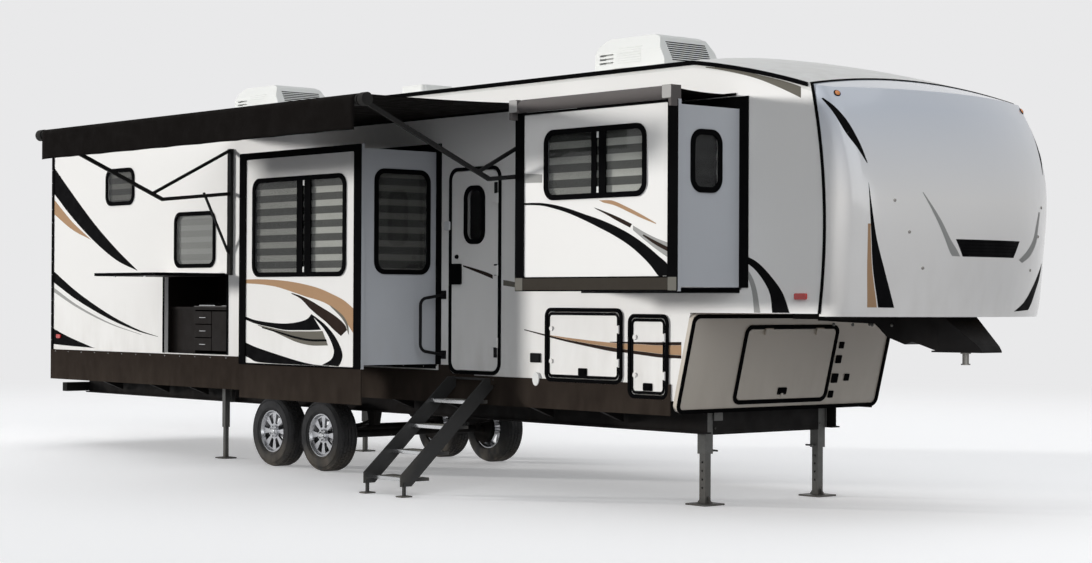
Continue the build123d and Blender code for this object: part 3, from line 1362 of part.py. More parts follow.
def awning_fabric():
    """The awning's cloth from the wall rail to the roller, with its hanging valance."""
    x = grow(AWNING_XS, -ARM_T / 2 - CLOTH_INSET)
    wall_y = -HALF_W - TRIM_T - SEAT
    top_z = ROLLER_Z + ROLLER_R + SEAT
    edge_y = ROLLER_Y - ROLLER_R - SEAT
    outer_y = edge_y - FABRIC_T
    sheet = polygon(
        (wall_y, AWNING_RAIL_Z),
        (ROLLER_Y, top_z),
        (edge_y, top_z),
        (edge_y, VALANCE_LOW_Z),
        (outer_y, VALANCE_LOW_Z),
        (outer_y, top_z + FABRIC_T / 2),
        (ROLLER_Y, top_z + FABRIC_T),
        (wall_y, AWNING_RAIL_Z + FABRIC_T),
    )
    return along_x(sheet, *x)


def awning_rail():
    """The rail on the wall that holds the cloth's inner edge."""
    z = (AWNING_RAIL_Z + RAIL_SPAN_Z[0], AWNING_RAIL_Z + RAIL_SPAN_Z[1])
    return block(grow(AWNING_XS, RAIL_OVERHANG), (-HALF_W, -HALF_W - TRIM_T), z)


# Roof units and rear fittings

# An air conditioner's side view: share of its height at the front edge, then distances in and down
COVER_NOSE_SHARE = 0.45
COVER_BROW = (110.0, 30.0)
COVER_FRONT_TOP = 190.0
COVER_REAR_TOP = 130.0
COVER_REAR = (20.0, 70.0)
# Its front view: distances in and down at the shoulder, and in at the top
COVER_SHOULDER = (6.0, 130.0)
COVER_TOP_IN = 75.0
LOUVRE_X = (70.0, 250.0)
LOUVRE_HALF_D = 40.0
LOUVRE_H = 18.0
LOUVRE_DROPS = (230.0, 195.0, 160.0)


def air_conditioner(spec):
    """A roof air conditioner: a tapered cover on the crowned roof, with rear louvre slots."""
    x0, x1, half, height = spec
    low_z, top_z = GUTTER_Z, GUTTER_Z + height
    side_view = polygon(
        (x0, low_z),
        (x1, low_z),
        (x1, low_z + COVER_NOSE_SHARE * height),
        (x1 - COVER_BROW[0], top_z - COVER_BROW[1]),
        (x1 - COVER_FRONT_TOP, top_z),
        (x0 + COVER_REAR_TOP, top_z),
        (x0 + COVER_REAR[0], top_z - COVER_REAR[1]),
    )
    shoulder_y, shoulder_z = half - COVER_SHOULDER[0], top_z - COVER_SHOULDER[1]
    top_y = half - COVER_TOP_IN
    right_half = ((half, low_z), (shoulder_y, shoulder_z), (top_y, top_z))
    front_view = polygon(*right_half, *[(-y, z) for y, z in reversed(right_half)])
    cover = along_y(side_view, -half, half) & along_x(front_view, x0, x1)
    slot_x = (x0 + LOUVRE_X[0], x0 + LOUVRE_X[1])
    for side in (-1, 1):
        for drop in LOUVRE_DROPS:
            z = (top_z - drop, top_z - drop + LOUVRE_H)
            cover = cover - block(slot_x, around(side * half, LOUVRE_HALF_D), z)
    return cover - below_roof(0)


VENT_FLANGE_HALF = 210.0
VENT_FLANGE_R = 30.0
VENT_FLANGE_T = 22.0
VENT_LID_HALF = 185.0
VENT_LID_R = 50.0
VENT_LID_T = 85.0


def roof_vent(spec):
    """A domed vent lid on its flange."""
    x, y = spec
    ridge_z = GUTTER_Z + ROOF_CROWN
    flange_face = rounded(around(x, VENT_FLANGE_HALF), around(y, VENT_FLANGE_HALF), VENT_FLANGE_R)
    lid_face = rounded(around(x, VENT_LID_HALF), around(y, VENT_LID_HALF), VENT_LID_R)
    flange = along_z(flange_face, GUTTER_Z, ridge_z + VENT_FLANGE_T)
    lid = along_z(lid_face, ridge_z, ridge_z + VENT_LID_T)
    return (flange + lid) - below_roof(0)


def roof_units():
    """Air conditioners and vents."""
    return group([air_conditioner(spec) for spec in AIR_CONDITIONERS] + [roof_vent(v) for v in ROOF_VENTS])


LADDER_Y = (620.0, 1000.0)
LADDER_OUT = 110.0
LADDER_R = 13.0
RUNG_R = 10.0
LADDER_Z = (1180.0, 3520.0)
RUNGS = 7
RUNG_INSET = 80.0
STANDOFF_INSET = 40.0
STANDOFF_LIFT = 60.0


def ladder():
    """The rear ladder: two rails, round rungs and standoffs to the wall."""
    x = REAR_X - LADDER_OUT
    pieces = [rod_z(*LADDER_Z, x, y, LADDER_R) for y in LADDER_Y]
    low_z, high_z = LADDER_Z
    pitch = (high_z - low_z - 2 * RUNG_INSET) / (RUNGS - 1)
    for index in range(RUNGS):
        pieces.append(rod_y(*LADDER_Y, x, low_z + RUNG_INSET + pitch * index, RUNG_R))
    middle_z = (low_z + high_z) / 2 + STANDOFF_LIFT
    for y in LADDER_Y:
        for z in (low_z + STANDOFF_INSET, middle_z, high_z - STANDOFF_INSET):
            pieces.append(rod_x(x, REAR_X, y, z, RUNG_R))
    return fuse(pieces)


TAIL_LAMP_INSET = 179.0
TAIL_LAMP_HALF_W = 70.0
TAIL_LAMP_Z = (1300.0, 1620.0)
TAIL_LAMP_R = 30.0
LAMP_T = 24.0
MARKER_T = 16.0
MARKER_R = 12.0
MARKER_SETBACK = 130.0
MARKER_LENGTH = 90.0
# Side marker lamps: rear x, front x, low z, high z
MARKERS = (
    (-650.0, -530.0, 1686.0, 1734.0),
    (REAR_X + MARKER_SETBACK, REAR_X + MARKER_SETBACK + MARKER_LENGTH, 1220.0, 1262.0),
)


def lamps():
    """Tail lamps and side markers."""
    pieces = []
    for side in (-1, 1):
        y = side * (HALF_W - TAIL_LAMP_INSET)
        face = rounded(grow((y, y), TAIL_LAMP_HALF_W), TAIL_LAMP_Z, TAIL_LAMP_R)
        pieces.append(along_x(face, REAR_X - LAMP_T, REAR_X))
        for x0, x1, z0, z1 in MARKERS:
            marker = rounded((x0, x1), (z0, z1), MARKER_R)
            pieces.append(along_y(marker, side * HALF_W, side * (HALF_W + MARKER_T)))
    return group(pieces)


def build_all():
    """Write every node."""
    save("frame_rail_right", frame_rail(-1))
    save("frame_rail_left", frame_rail(1))
    save("cross_members", cross_members())
    save("belly_panel", belly_panel())
    save("springs", springs())
    one_tyre, one_rim = tyre(), rim()
    for place, x in AXLE_XS.items():
        save(f"axle_{place}", axle(x))
        for side, word in ((-1, "right"), (1, "left")):
            turn = Pos(x, side * WHEEL_Y, TYRE_R) * Rot(0, 0, 0 if side > 0 else 180)
            save(f"tyre_{place}_{word}", turn * one_tyre)
            save(f"rim_{place}_{word}", turn * one_rim)
    for side, word in ((-1, "right"), (1, "left")):
        save(f"side_wall_{word}", side_wall(side))
        save(f"skirt_{word}", skirt(side))
    save("landing_legs", group([landing_leg(side) for side in (-1, 1)]))
    save("stabilisers", group([stabiliser(side) for side in (-1, 1)]))
    save("pin_box", pin_box())
    save("king_pin", king_pin())
    save("main_floor", main_floor())
    save("deck_floor", deck_floor())
    save("rear_wall", rear_wall())
    save("front_wall", front_wall())
    save("roof", roof())
    save("front_cap", front_cap())
    rings, panes = body_windows()
    trims = rings + opening_rings() + kitchen_ring() + [front_wall_trim(), awning_rail(), seam_moulding()]
    trims += [gutter(side) for side in (-1, 1)] + [rear_corner(side) for side in (-1, 1)]
    save("body_trim", group(trims))
    save("window_glass", group(panes))
    save("lamps", lamps())
    save("roof_units", roof_units())
    save("ladder", ladder())
    door_ring, door_pane = entry_door_window()
    save("entry_door", entry_door())
    save("entry_door_window", door_ring)
    save("entry_door_glass", door_pane)
    for spec in BAGGAGE_DOORS:
        save(spec[0], baggage_door(spec))
    save("front_compartment_door", front_compartment_door())
    save("grab_handle", grab_handle())
    save("entry_steps", entry_steps())
    save("kitchen_box", kitchen_box())
    save("kitchen_flap", kitchen_flap())
    for slide in SLIDES:
        save(f"{slide[0]}_shell", slide_shell(slide))
        save(f"{slide[0]}_trim", slide_trim(slide))
        save(f"{slide[0]}_glass", group(slide_windows(slide)[1]))
    save("living_slide_skirt", living_skirt(SLIDES[0]))
    save("bedroom_slide_topper", slide_topper(SLIDES[1]))
    save("awning_arms", awning_arms())
    save("awning_roller", awning_roller())
    save("awning_fabric", awning_fabric())


build_all()
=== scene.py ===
"""Looks of the parked fifth wheel trailer: finishes, stripes, cloth, treads and small fittings.

Everything is in metres from the king pin's lower face: +X forward, +Y left, +Z up. The ground is at GROUND.
"""

import math

import bmesh
import bpy
from mathutils import Matrix, Vector
from mathutils.bvhtree import BVHTree


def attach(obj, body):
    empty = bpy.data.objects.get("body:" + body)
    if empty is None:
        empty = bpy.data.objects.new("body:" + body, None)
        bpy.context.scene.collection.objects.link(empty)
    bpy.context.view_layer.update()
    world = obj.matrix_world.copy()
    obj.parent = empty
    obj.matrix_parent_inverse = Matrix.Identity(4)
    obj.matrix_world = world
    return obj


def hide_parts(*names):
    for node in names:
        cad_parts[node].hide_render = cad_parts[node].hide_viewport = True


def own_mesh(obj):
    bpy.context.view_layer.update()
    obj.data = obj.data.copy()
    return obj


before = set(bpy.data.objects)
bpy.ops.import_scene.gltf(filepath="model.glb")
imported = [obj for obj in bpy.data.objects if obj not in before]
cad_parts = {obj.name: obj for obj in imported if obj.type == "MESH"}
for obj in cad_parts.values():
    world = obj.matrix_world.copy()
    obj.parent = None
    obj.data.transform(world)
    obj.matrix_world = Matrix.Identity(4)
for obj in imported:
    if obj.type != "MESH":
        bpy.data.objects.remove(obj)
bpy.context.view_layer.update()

GROUND = -1.190
WALL_Y = 1.219
DOOR_Y = -1.226
AHEAD = Vector((1, 0, 0))
LEFTWARD = Vector((0, 1, 0))
UP = Vector((0, 0, 1))

# The gap under films and plates, and a film's thickness
CLEAR = 0.0004
FILM = 0.0006


# Forms

BOX_SIDES = ((0, 1, 3, 2), (4, 6, 7, 5), (0, 4, 5, 1), (2, 3, 7, 6), (0, 2, 6, 4), (1, 5, 7, 3))
DOME_PROFILE = ((1.0, -0.004), (1.0, 0.15), (0.92, 0.55), (0.7, 0.85), (0.35, 0.98), (0.03, 1.0))
DOME_SIDES = 20
NEAR_UP = 0.9
TIP_R = 0.001


def between(span, share):
    """The value at a share of the way along a span."""
    return span[0] + (span[1] - span[0]) * share


def turns(steps):
    """Evenly spaced angles of one whole turn."""
    return [2 * math.pi * step / steps for step in range(steps)]


def turned(centre, axis, radius, along, turn):
    """A point at a turn about an axis through the centre."""
    a, b = radius * math.cos(turn), radius * math.sin(turn)
    return Vector(centre) + Vector({"y": (a, along, b), "z": (a, b, along)}[axis])


def square_to(along):
    """A unit direction square to another."""
    return along.cross(UP if abs(along.z) < NEAR_UP else AHEAD).normalized()


class Form:
    """Corners and faces of one piece, gathered from simple closed shapes."""

    def __init__(self):
        self.points = []
        self.faces = []

    def add(self, points, faces):
        start = len(self.points)
        self.points.extend(Vector(point) for point in points)
        self.faces.extend([start + index for index in face] for face in faces)
        return self

    def block(self, x, y, z):
        """A box between low and high along each axis."""
        return self.add([(a, b, c) for a in x for b in y for c in z], BOX_SIDES)

    def loft(self, rings, closed=False):
        """A skin through rings of equally many points, with flat ends unless it closes on itself."""
        count = len(rings[0])
        spans = len(rings) if closed else len(rings) - 1
        faces = []
        for ring in range(spans):
            near = ring * count
            far = (ring + 1) % len(rings) * count
            for index in range(count):
                after = (index + 1) % count
                faces.append((near + index, near + after, far + after, far + index))
        if not closed:
            faces.append(tuple(range(count)))
            faces.append(tuple(range((len(rings) - 1) * count, len(rings) * count)))
        return self.add([point for ring in rings for point in ring], faces)

    def plate(self, outline, place, low, high):
        """A flat outline of (u, v) with thickness; place(u, v, w) puts a point in the frame."""
        return self.loft([[place(u, v, w) for u, v in outline] for w in (low, high)])

    def panel(self, place, x, heights, radius, low, high):
        """A round-cornered plate on a wall, at heights from the ground."""
        return self.plate(rounded(x, lifted(heights), radius), place, low, high)

    def tube(self, path, radius, sides=10, closed=False):
        """A round tube along points."""
        points = [Vector(point) for point in path]
        last = len(points) - 1
        rings = []
        side = None
        for index, point in enumerate(points):
            if closed:
                along = points[(index + 1) % len(points)] - points[index - 1]
            else:
                along = points[min(index + 1, last)] - points[max(index - 1, 0)]
            along.normalize()
            if side is None:
                side = square_to(along)
            side = (side - along * side.dot(along)).normalized()
            other = along.cross(side)
            rings.append([point + radius * (math.cos(t) * side + math.sin(t) * other) for t in turns(sides)])
        return self.loft(rings, closed)

    def rod(self, start, end, radius, sides=8):
        """A straight round bar."""
        return self.tube([start, end], radius, sides)

    def lathe(self, profile, centre, steps):
        """A closed (radius, along) profile turned about the centre's Y axis."""
        rings = [[turned(centre, "y", radius, along, turn) for radius, along in profile]
                 for turn in turns(steps)]
        return self.loft(rings, closed=True)

    def knob(self, profile, centre, steps=20, axis="y"):
        """A turned form closed on its axis: profile starts and ends at a small radius."""
        return self.loft([[turned(centre, axis, radius, along, turn) for turn in turns(steps)]
                          for radius, along in profile])

    def dome(self, spot, outward, radius, height):
        """A low round lens or bolt head on a face."""
        side = square_to(outward)
        other = outward.cross(side)
        rings = []
        for share, lift in DOME_PROFILE:
            centre = spot + outward * (height * lift)
            arms = [math.cos(t) * side + math.sin(t) * other for t in turns(DOME_SIDES)]
            rings.append([centre + arm * radius * share for arm in arms])
        return self.loft(rings)


def piece(form, name, finish, body="trailer", bevel=0.0, sharp=35):
    """The form as an object with its finish, riding on its body."""
    mesh = bpy.data.meshes.new(name)
    mesh.from_pydata(form.points, [], form.faces)
    work = bmesh.new()
    work.from_mesh(mesh)
    bmesh.ops.recalc_face_normals(work, faces=work.faces)
    work.to_mesh(mesh)
    work.free()
    mesh.shade_smooth()
    mesh.set_sharp_from_angle(angle=math.radians(sharp))
    mesh.materials.append(finish.material)
    made = bpy.data.objects.new(name, mesh)
    bpy.context.scene.collection.objects.link(made)
    if bevel:
        edge = made.modifiers.new("edge", "BEVEL")
        edge.width = bevel
        edge.segments = 2
        edge.limit_method = "ANGLE"
        edge.harden_normals = True
    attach(made, body)
    return made


def through(points, count):
    """Smooth samples through control points, evenly by parameter."""
    spots = [Vector(point) for point in points]
    spots = [2 * spots[0] - spots[1], *spots, 2 * spots[-1] - spots[-2]]
    samples = []
    for index in range(count):
        place = index / (count - 1) * (len(spots) - 3)
        span = min(int(place), len(spots) - 4)
        t = place - span
        a, b, c, d = spots[span:span + 4]
        samples.append(0.5 * (2 * b + (c - a) * t + (2 * a - 5 * b + 4 * c - d) * t * t
                              + (3 * b - a - 3 * c + d) * t * t * t))
    return samples


def rounded(u, v, radius, steps=6):
    """Outline of a rectangle with round corners, as (u, v) points."""
    outline = []
    for cu, cv, start in ((u[1] - radius, v[1] - radius, 0), (u[0] + radius, v[1] - radius, 90),
                          (u[0] + radius, v[0] + radius, 180), (u[1] - radius, v[0] + radius, 270)):
        for step in range(steps + 1):
            turn = math.radians(start + 90 * step / steps)
            outline.append((cu + radius * math.cos(turn), cv + radius * math.sin(turn)))
    return outline


def round_at(u, v, half_u, half_v, radius):
    """A rounded outline about its middle."""
    return rounded((u - half_u, u + half_u), (v - half_v, v + half_v), radius)


def lifted(heights):
    """Heights from the ground as heights in the frame."""
    return tuple(height + GROUND for height in heights)


def raised(points):
    """(x, height from the ground) as (x, z) in the frame."""
    return [(x, height + GROUND) for x, height in points]


def mesh_tree(*nodes):
    """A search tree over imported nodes, to lay films and beads on their faces."""
    points, faces = [], []
    for node in nodes:
        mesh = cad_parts[node].data
        start = len(points)
        points.extend(vertex.co.copy() for vertex in mesh.vertices)
        faces.extend([start + index for index in polygon.vertices] for polygon in mesh.polygons)
    return BVHTree.FromPolygons(points, faces)


def on_plane_y(face_y, side=-1):
    """Places (x, z) on a wall that faces along Y."""
    return lambda x, z, out: Vector((x, face_y + side * out, z))


ON_RIGHT_WALL = on_plane_y(-WALL_Y)
ON_DOOR = on_plane_y(DOOR_Y)
RIBBON_STEPS = 36


def ribbon(first, second, place, across=2):
    """A film between two edges of (u, v) control points, laid by place(u, v, out)."""
    near, far = (through([(u, v, 0) for u, v in edge], RIBBON_STEPS) for edge in (first, second))
    return film_between(near, far, lambda spot, out: place(spot.x, spot.y, out), across)


def film_between(near, far, lay, across):
    """A thin film between two rows of points; lay(point, out) puts a point on the face, lifted by out."""
    layers = []
    for out in (CLEAR, CLEAR + FILM):
        layers.append([[lay(a.lerp(b, step / across), out) for step in range(across + 1)]
                       for a, b in zip(near, far)])
    return closed_film(*layers)


def closed_film(low, high):
    """Two matching grids of points closed into one thin solid."""
    rows, columns = len(low), len(low[0])
    points = [point for grid in (low, high) for row in grid for point in row]
    top = rows * columns
    faces = []
    for row in range(rows - 1):
        for column in range(columns - 1):
            a = row * columns + column
            b = a + columns
            faces.append((a, a + 1, b + 1, b))
            faces.append((top + a, top + b, top + b + 1, top + a + 1))
    edge = list(range(columns))
    edge += [row * columns + columns - 1 for row in range(1, rows)]
    edge += [(rows - 1) * columns + column for column in range(columns - 2, -1, -1)]
    edge += [row * columns for row in range(rows - 2, 0, -1)]
    for index, a in enumerate(edge):
        b = edge[(index + 1) % len(edge)]
        faces.append((a, b, top + b, top + a))
    return Form().add(points, faces)


def grid_form(rows):
    """An open skin through rows of points."""
    columns = len(rows[0])
    faces = []
    for row in range(len(rows) - 1):
        for column in range(columns - 1):
            a = row * columns + column
            faces.append((a, a + 1, a + columns + 1, a + columns))
    return Form().add([point for row in rows for point in row], faces)


# Finishes

COAT_ROUGH = 0.06
ROUGH_SPREAD = 0.18
ROUGH_SCALE = 9
# Places of the colour sockets on a mix node
MIX_FIRST, MIX_SECOND, MIX_RESULT = 6, 7, 2


def linear(red, green, blue):
    """A screen colour in 0-255 as the shader's linear value."""
    values = []
    for part in (red, green, blue):
        share = part / 255
        values.append(share / 12.92 if share <= 0.04045 else ((share + 0.055) / 1.055) ** 2.4)
    return (*values, 1.0)


class Finish:
    """A node material: two close tones mixed by noise, a rough map and a fine bump."""

    def __init__(self, name, tone, rough, metal=0.0, coat=0.0, shine=0.5, spread=0.06, tone_scale=1.5,
                 grain=(400, 0.05)):
        self.material = bpy.data.materials.new(name)
        self.material.use_nodes = True
        self.nodes = self.material.node_tree.nodes
        self.links = self.material.node_tree.links
        self.shader = self.nodes["Principled BSDF"]
        self.set(Metallic=metal, Coat_Weight=coat, Coat_Roughness=COAT_ROUGH, Specular_IOR_Level=shine)
        self.coords = self.node("ShaderNodeTexCoord").outputs["Object"]
        tone = linear(*tone)[:3]
        dark = [channel * (1 - spread) for channel in tone] + [1.0]
        light = [min(1.0, channel * (1 + spread)) for channel in tone] + [1.0]
        self.paint(self.mix(dark, light, self.noise(tone_scale, 5)))
        shares = (rough * (1 - ROUGH_SPREAD), min(1.0, rough * (1 + ROUGH_SPREAD)))
        self.feed(self.ramp(self.noise(ROUGH_SCALE, 4), 0.3, 0.7, *shares), self.shader.inputs["Roughness"])
        self.rippled(grain[0], 3, grain[1], 0.001)

    def set(self, **values):
        for key, value in values.items():
            self.shader.inputs[key.replace("_", " ")].default_value = value
        return self

    def feed(self, source, socket):
        """Links a node's output to a socket, or sets the socket's own value."""
        if isinstance(source, bpy.types.NodeSocket):
            self.links.new(source, socket)
        else:
            socket.default_value = source

    def node(self, kind, inputs=(), **settings):
        """A new node with its settings, then its inputs as (socket, source) pairs."""
        made = self.nodes.new(kind)
        for key, setting in settings.items():
            setattr(made, key, setting)
        for socket, source in inputs:
            self.feed(source, made.inputs[socket])
        return made

    def noise(self, scale, detail, stretch=(1, 1, 1)):
        place = self.node("ShaderNodeMapping", (("Scale", stretch), ("Vector", self.coords)))
        inputs = (("Scale", scale), ("Detail", detail), ("Vector", place.outputs["Vector"]))
        return self.node("ShaderNodeTexNoise", inputs).outputs["Fac"]

    def wave(self, axis, scale):
        return self.node("ShaderNodeTexWave", (("Scale", scale), ("Vector", self.coords)),
                         bands_direction=axis).outputs["Fac"]

    def mix(self, first, second, share):
        """A colour between two linear values or outputs."""
        inputs = (("Factor", share), (MIX_FIRST, first), (MIX_SECOND, second))
        return self.node("ShaderNodeMix", inputs, data_type="RGBA").outputs[MIX_RESULT]

    def ramp(self, source, low, high, out_low=0.0, out_high=1.0):
        inputs = (("Value", source), ("From Min", low), ("From Max", high), ("To Min", out_low),
                  ("To Max", out_high))
        return self.node("ShaderNodeMapRange", inputs).outputs["Result"]

    def part(self, source, axis):
        return self.node("ShaderNodeSeparateXYZ", (("Vector", source),)).outputs[axis]

    def height(self, low, high, out_low=0.0, out_high=1.0):
        """A ramp between two heights from the ground."""
        return self.ramp(self.part(self.coords, "Z"), GROUND + low, GROUND + high, out_low, out_high)

    def paint(self, colour):
        self.feed(colour, self.shader.inputs["Base Color"])
        self.colour = colour
        return self

    def blend(self, tone, share):
        """Another screen colour laid over by a share."""
        return self.paint(self.mix(self.colour, linear(*tone), share))

    def bump(self, height, strength, distance):
        inputs = (("Strength", strength), ("Distance", distance), ("Height", height))
        made = self.node("ShaderNodeBump", inputs)
        below = self.shader.inputs["Normal"]
        if below.is_linked:
            self.links.new(below.links[0].from_socket, made.inputs["Normal"])
        self.links.new(made.outputs["Normal"], below)
        return self

    def rippled(self, scale, detail, strength, distance, stretch=(1, 1, 1)):
        """Soft waviness."""
        return self.bump(self.noise(scale, detail, stretch), strength, distance)

    def ribbed(self, axis, scale, strength, distance):
        """Even ribs along an axis."""
        return self.bump(self.wave(axis, scale), strength, distance)

    def grime(self, tone, low, high, most):
        """Dirt that thickens from height high down to height low."""
        patch = self.ramp(self.noise(7, 6, (1, 1, 0.35)), 0.35, 0.75)
        inputs = ((0, self.height(low, high, most, 0.0)), (1, patch))
        return self.blend(tone, self.node("ShaderNodeMath", inputs, operation="MULTIPLY").outputs[0])

    def worn(self, tone, low, high, most):
        """Rubbed edges in another tone."""
        edge = self.node("ShaderNodeNewGeometry").outputs["Pointiness"]
        return self.blend(tone, self.ramp(edge, low, high, 0.0, most))

    def painted_end_shade(self, tone, low, high):
        """Painted shade: a darker tone on the faces that look along X."""
        normal = self.node("ShaderNodeNewGeometry").outputs["Normal"]
        size = self.node("ShaderNodeMath", ((0, self.part(normal, "X")),), operation="ABSOLUTE")
        return self.blend(tone, self.ramp(size.outputs["Value"], low, high))


DUST = (150, 140, 126)
SOIL = (70, 62, 54)

white = Finish("white_gelcoat", (236, 235, 233), 0.5, shine=0.1, spread=0.015, grain=(900, 0.02))
white.rippled(1.1, 2, 0.25, 0.003).grime(DUST, 0.9, 1.7, 0.22)
cap = Finish("cap_gelcoat", (232, 230, 228), 0.2, coat=0.7, spread=0.015, grain=(900, 0.015))
# Bluer towards the top of the cap: silver paint and a painted sky reflection
cap.blend((197, 203, 213), cap.height(2.44, 3.14)).rippled(0.9, 2, 0.2, 0.003).grime(DUST, 1.5, 2.3, 0.15)
# The slide rooms' white skin, with painted shade on the end faces that look along X
slide_skin = Finish("slide_skin", (236, 235, 233), 0.5, shine=0.1, spread=0.015, grain=(700, 0.03))
slide_skin.painted_end_shade((184, 187, 192), 0.6, 0.9).grime(DUST, 0.9, 1.7, 0.15)
roof_skin = Finish("roof_membrane", (226, 226, 224), 0.55, spread=0.04, tone_scale=4, grain=(160, 0.2))
roof_skin.grime(DUST, 3.09, 3.79, 0.3)
sealant = Finish("lap_sealant", (214, 212, 206), 0.6, spread=0.05, tone_scale=12, grain=(90, 0.5))
grey_skin = Finish("grey_panel", (198, 190, 178), 0.34, coat=0.2, spread=0.03, grain=(500, 0.12))
grey_skin.grime(DUST, 0.7, 1.3, 0.3)
skirt_metal = Finish("dark_skirt", (44, 38, 34), 0.85, shine=0.03, tone_scale=2.5, grain=(600, 0.1))
skirt_metal.grime((84, 76, 68), 0.7, 1.15, 0.3)
cover = Finish("white_covers", (222, 223, 221), 0.42, shine=0.06, spread=0.03, grain=(420, 0.18))
board = Finish("floor_board", (150, 120, 88), 0.6, spread=0.15, tone_scale=6, grain=(220, 0.3))
belly = Finish("belly_plastic", (24, 24, 25), 0.6, spread=0.12, grain=(200, 0.2)).ribbed("Y", 22, 0.6, 0.004)

black_trim = Finish("black_trim", (11, 11, 12), 0.75, shine=0.01, spread=0.15, grain=(700, 0.15))
rubber = Finish("black_rubber", (13, 13, 14), 0.85, shine=0.02, spread=0.2, grain=(1200, 0.25))
tyre_rubber = Finish("tyre_rubber", (34, 34, 35), 0.72, spread=0.2, tone_scale=18, grain=(900, 0.3))
tyre_rubber.grime(DUST, 0.0, 0.3, 0.5)
glass = Finish("tinted_glass", (14, 16, 17), 0.03, shine=1.0, spread=0.02, grain=(3, 0.02))
glass.set(Alpha=0.22, IOR=1.5)
screen = Finish("insect_screen", (30, 31, 32), 0.85, spread=0.1, grain=(1500, 0.3)).set(Alpha=0.15)
red_lens = Finish("red_lens", (190, 22, 16), 0.12, coat=0.6, spread=0.08, grain=(60, 0.1))
red_lens.ribbed("Z", 40, 0.5, 0.002)
amber_lens = Finish("amber_lens", (226, 128, 22), 0.12, coat=0.6, spread=0.08, grain=(60, 0.1))
clear_lens = Finish("clear_lens", (222, 224, 226), 0.1, coat=0.5, spread=0.03, grain=(80, 0.2))

alloy = Finish("rim_alloy", (196, 197, 200), 0.28, metal=1.0, spread=0.05, grain=(1500, 0.08))
alloy.grime(SOIL, 0.1, 0.6, 0.3)
bright = Finish("bright_metal", (205, 206, 207), 0.2, metal=1.0, spread=0.05, grain=(900, 0.1))
forged = Finish("pin_steel", (120, 118, 114), 0.36, metal=1.0, spread=0.18, tone_scale=30, grain=(320, 0.3))
zinc = Finish("galvanised", (92, 92, 90), 0.5, metal=0.6, spread=0.16, tone_scale=45, grain=(260, 0.2))
zinc.grime((92, 78, 62), 0.0, 0.5, 0.4)
black_tube = Finish("black_tube", (23, 23, 24), 0.6, shine=0.08, spread=0.12, grain=(800, 0.15))
black_tube.worn((88, 86, 82), 0.55, 0.7, 0.4)
step_metal = Finish("step_metal", (30, 30, 30), 0.5, spread=0.15, grain=(500, 0.3))
step_metal.worn((120, 116, 108), 0.54, 0.66, 0.5)
frame_paint = Finish("frame_black", (24, 23, 23), 0.65, shine=0.1, spread=0.2, tone_scale=5,
                     grain=(350, 0.25))
frame_paint.grime(SOIL, 0.2, 0.8, 0.3)
tread_grip = Finish("tread_grip", (120, 118, 112), 0.7, spread=0.2, tone_scale=40, grain=(1400, 0.4))
lining = Finish("kitchen_lining", (22, 18, 16), 0.45, shine=0.1, spread=0.22, tone_scale=3, grain=(300, 0.2))
lining.rippled(30, 6, 0.3, 0.001, (6, 6, 0.3))
stone = Finish("worktop", (52, 47, 44), 0.3, coat=0.3, spread=0.35, tone_scale=120, grain=(300, 0.05))
end_paint = Finish("topper_ends", (168, 166, 164), 0.34, coat=0.2, spread=0.05, grain=(700, 0.1))
case_paint = Finish("topper_case", (96, 92, 91), 0.6, shine=0.06, grain=(700, 0.1))
band_dark = Finish("band_dark", (58, 54, 49), 0.7, shine=0.06, spread=0.08, grain=(500, 0.1))
band_end = Finish("band_ends", (108, 106, 100), 0.6, shine=0.06, grain=(500, 0.1))


def stripe_finish(name, tone, rough, shine, spread):
    return Finish(name, tone, rough, shine=shine, spread=spread, tone_scale=3, grain=(900, 0.02))


film_black = stripe_finish("stripe_black", (14, 14, 15), 0.75, 0.03, 0.12)
film_tan = stripe_finish("stripe_tan", (172, 140, 110), 0.7, 0.06, 0.05)
film_brown = stripe_finish("stripe_brown", (46, 37, 33), 0.7, 0.05, 0.1)
film_grey = stripe_finish("stripe_grey", (158, 158, 156), 0.5, 0.06, 0.06)
film_dim = stripe_finish("stripe_dim", (106, 103, 95), 0.5, 0.06, 0.08)

awning_cloth = Finish("awning_cloth", (20, 18, 17), 0.75, shine=0.02, spread=0.12, tone_scale=2,
                      grain=(1100, 0.3))
awning_cloth.ribbed("X", 190, 0.25, 0.0006).ribbed("Z", 190, 0.2, 0.0006)

SHADE_PITCH = 0.123
# A wave node of scale 1 has a band every pi / 10
WAVE_SCALE = math.pi / 10


def banded_cloth(name, light, dark):
    """Window shade cloth with soft level bands at the shade's pitch."""
    cloth = Finish(name, light, 0.8, spread=0.04, tone_scale=5, grain=(900, 0.3))
    cloth.blend(dark, cloth.ramp(cloth.wave("Z", WAVE_SCALE / SHADE_PITCH), 0.38, 0.5))
    return cloth.set(Sheen_Weight=0.2)


shade_cloth = banded_cloth("shade_cloth", (240, 242, 233), (96, 98, 93))
# A dim copy of the pale cloth: painted shade on the living room's end window, a dim cloth on the rear wall
# window
shade_dim = banded_cloth("shade_dim", (120, 120, 114), (58, 58, 55))
# A dark copy of the pale cloth: painted shade on the bedroom's end window
shade_dark = banded_cloth("shade_dark", (34, 34, 33), (22, 22, 22))
shade_plain = banded_cloth("shade_plain", (196, 198, 194), (176, 178, 174))

NODE_FINISH = {
    "tyre": tyre_rubber, "rim_alloy": alloy, "glass": glass, "black_trim": black_trim, "white_gelcoat": white,
    "cap_gelcoat": cap, "roof_membrane": roof_skin, "dark_skirt": skirt_metal, "grey_panel": grey_skin,
    "floor_board": board, "white_plastic": cover, "lamp_red": red_lens, "black_tube": black_tube,
    "galvanised": zinc, "pin_steel": forged, "kitchen_lining": lining, "step_metal": step_metal,
    "awning_cloth": awning_cloth, "topper_case": case_paint, "belly_plastic": belly,
    "frame_black": frame_paint,
}


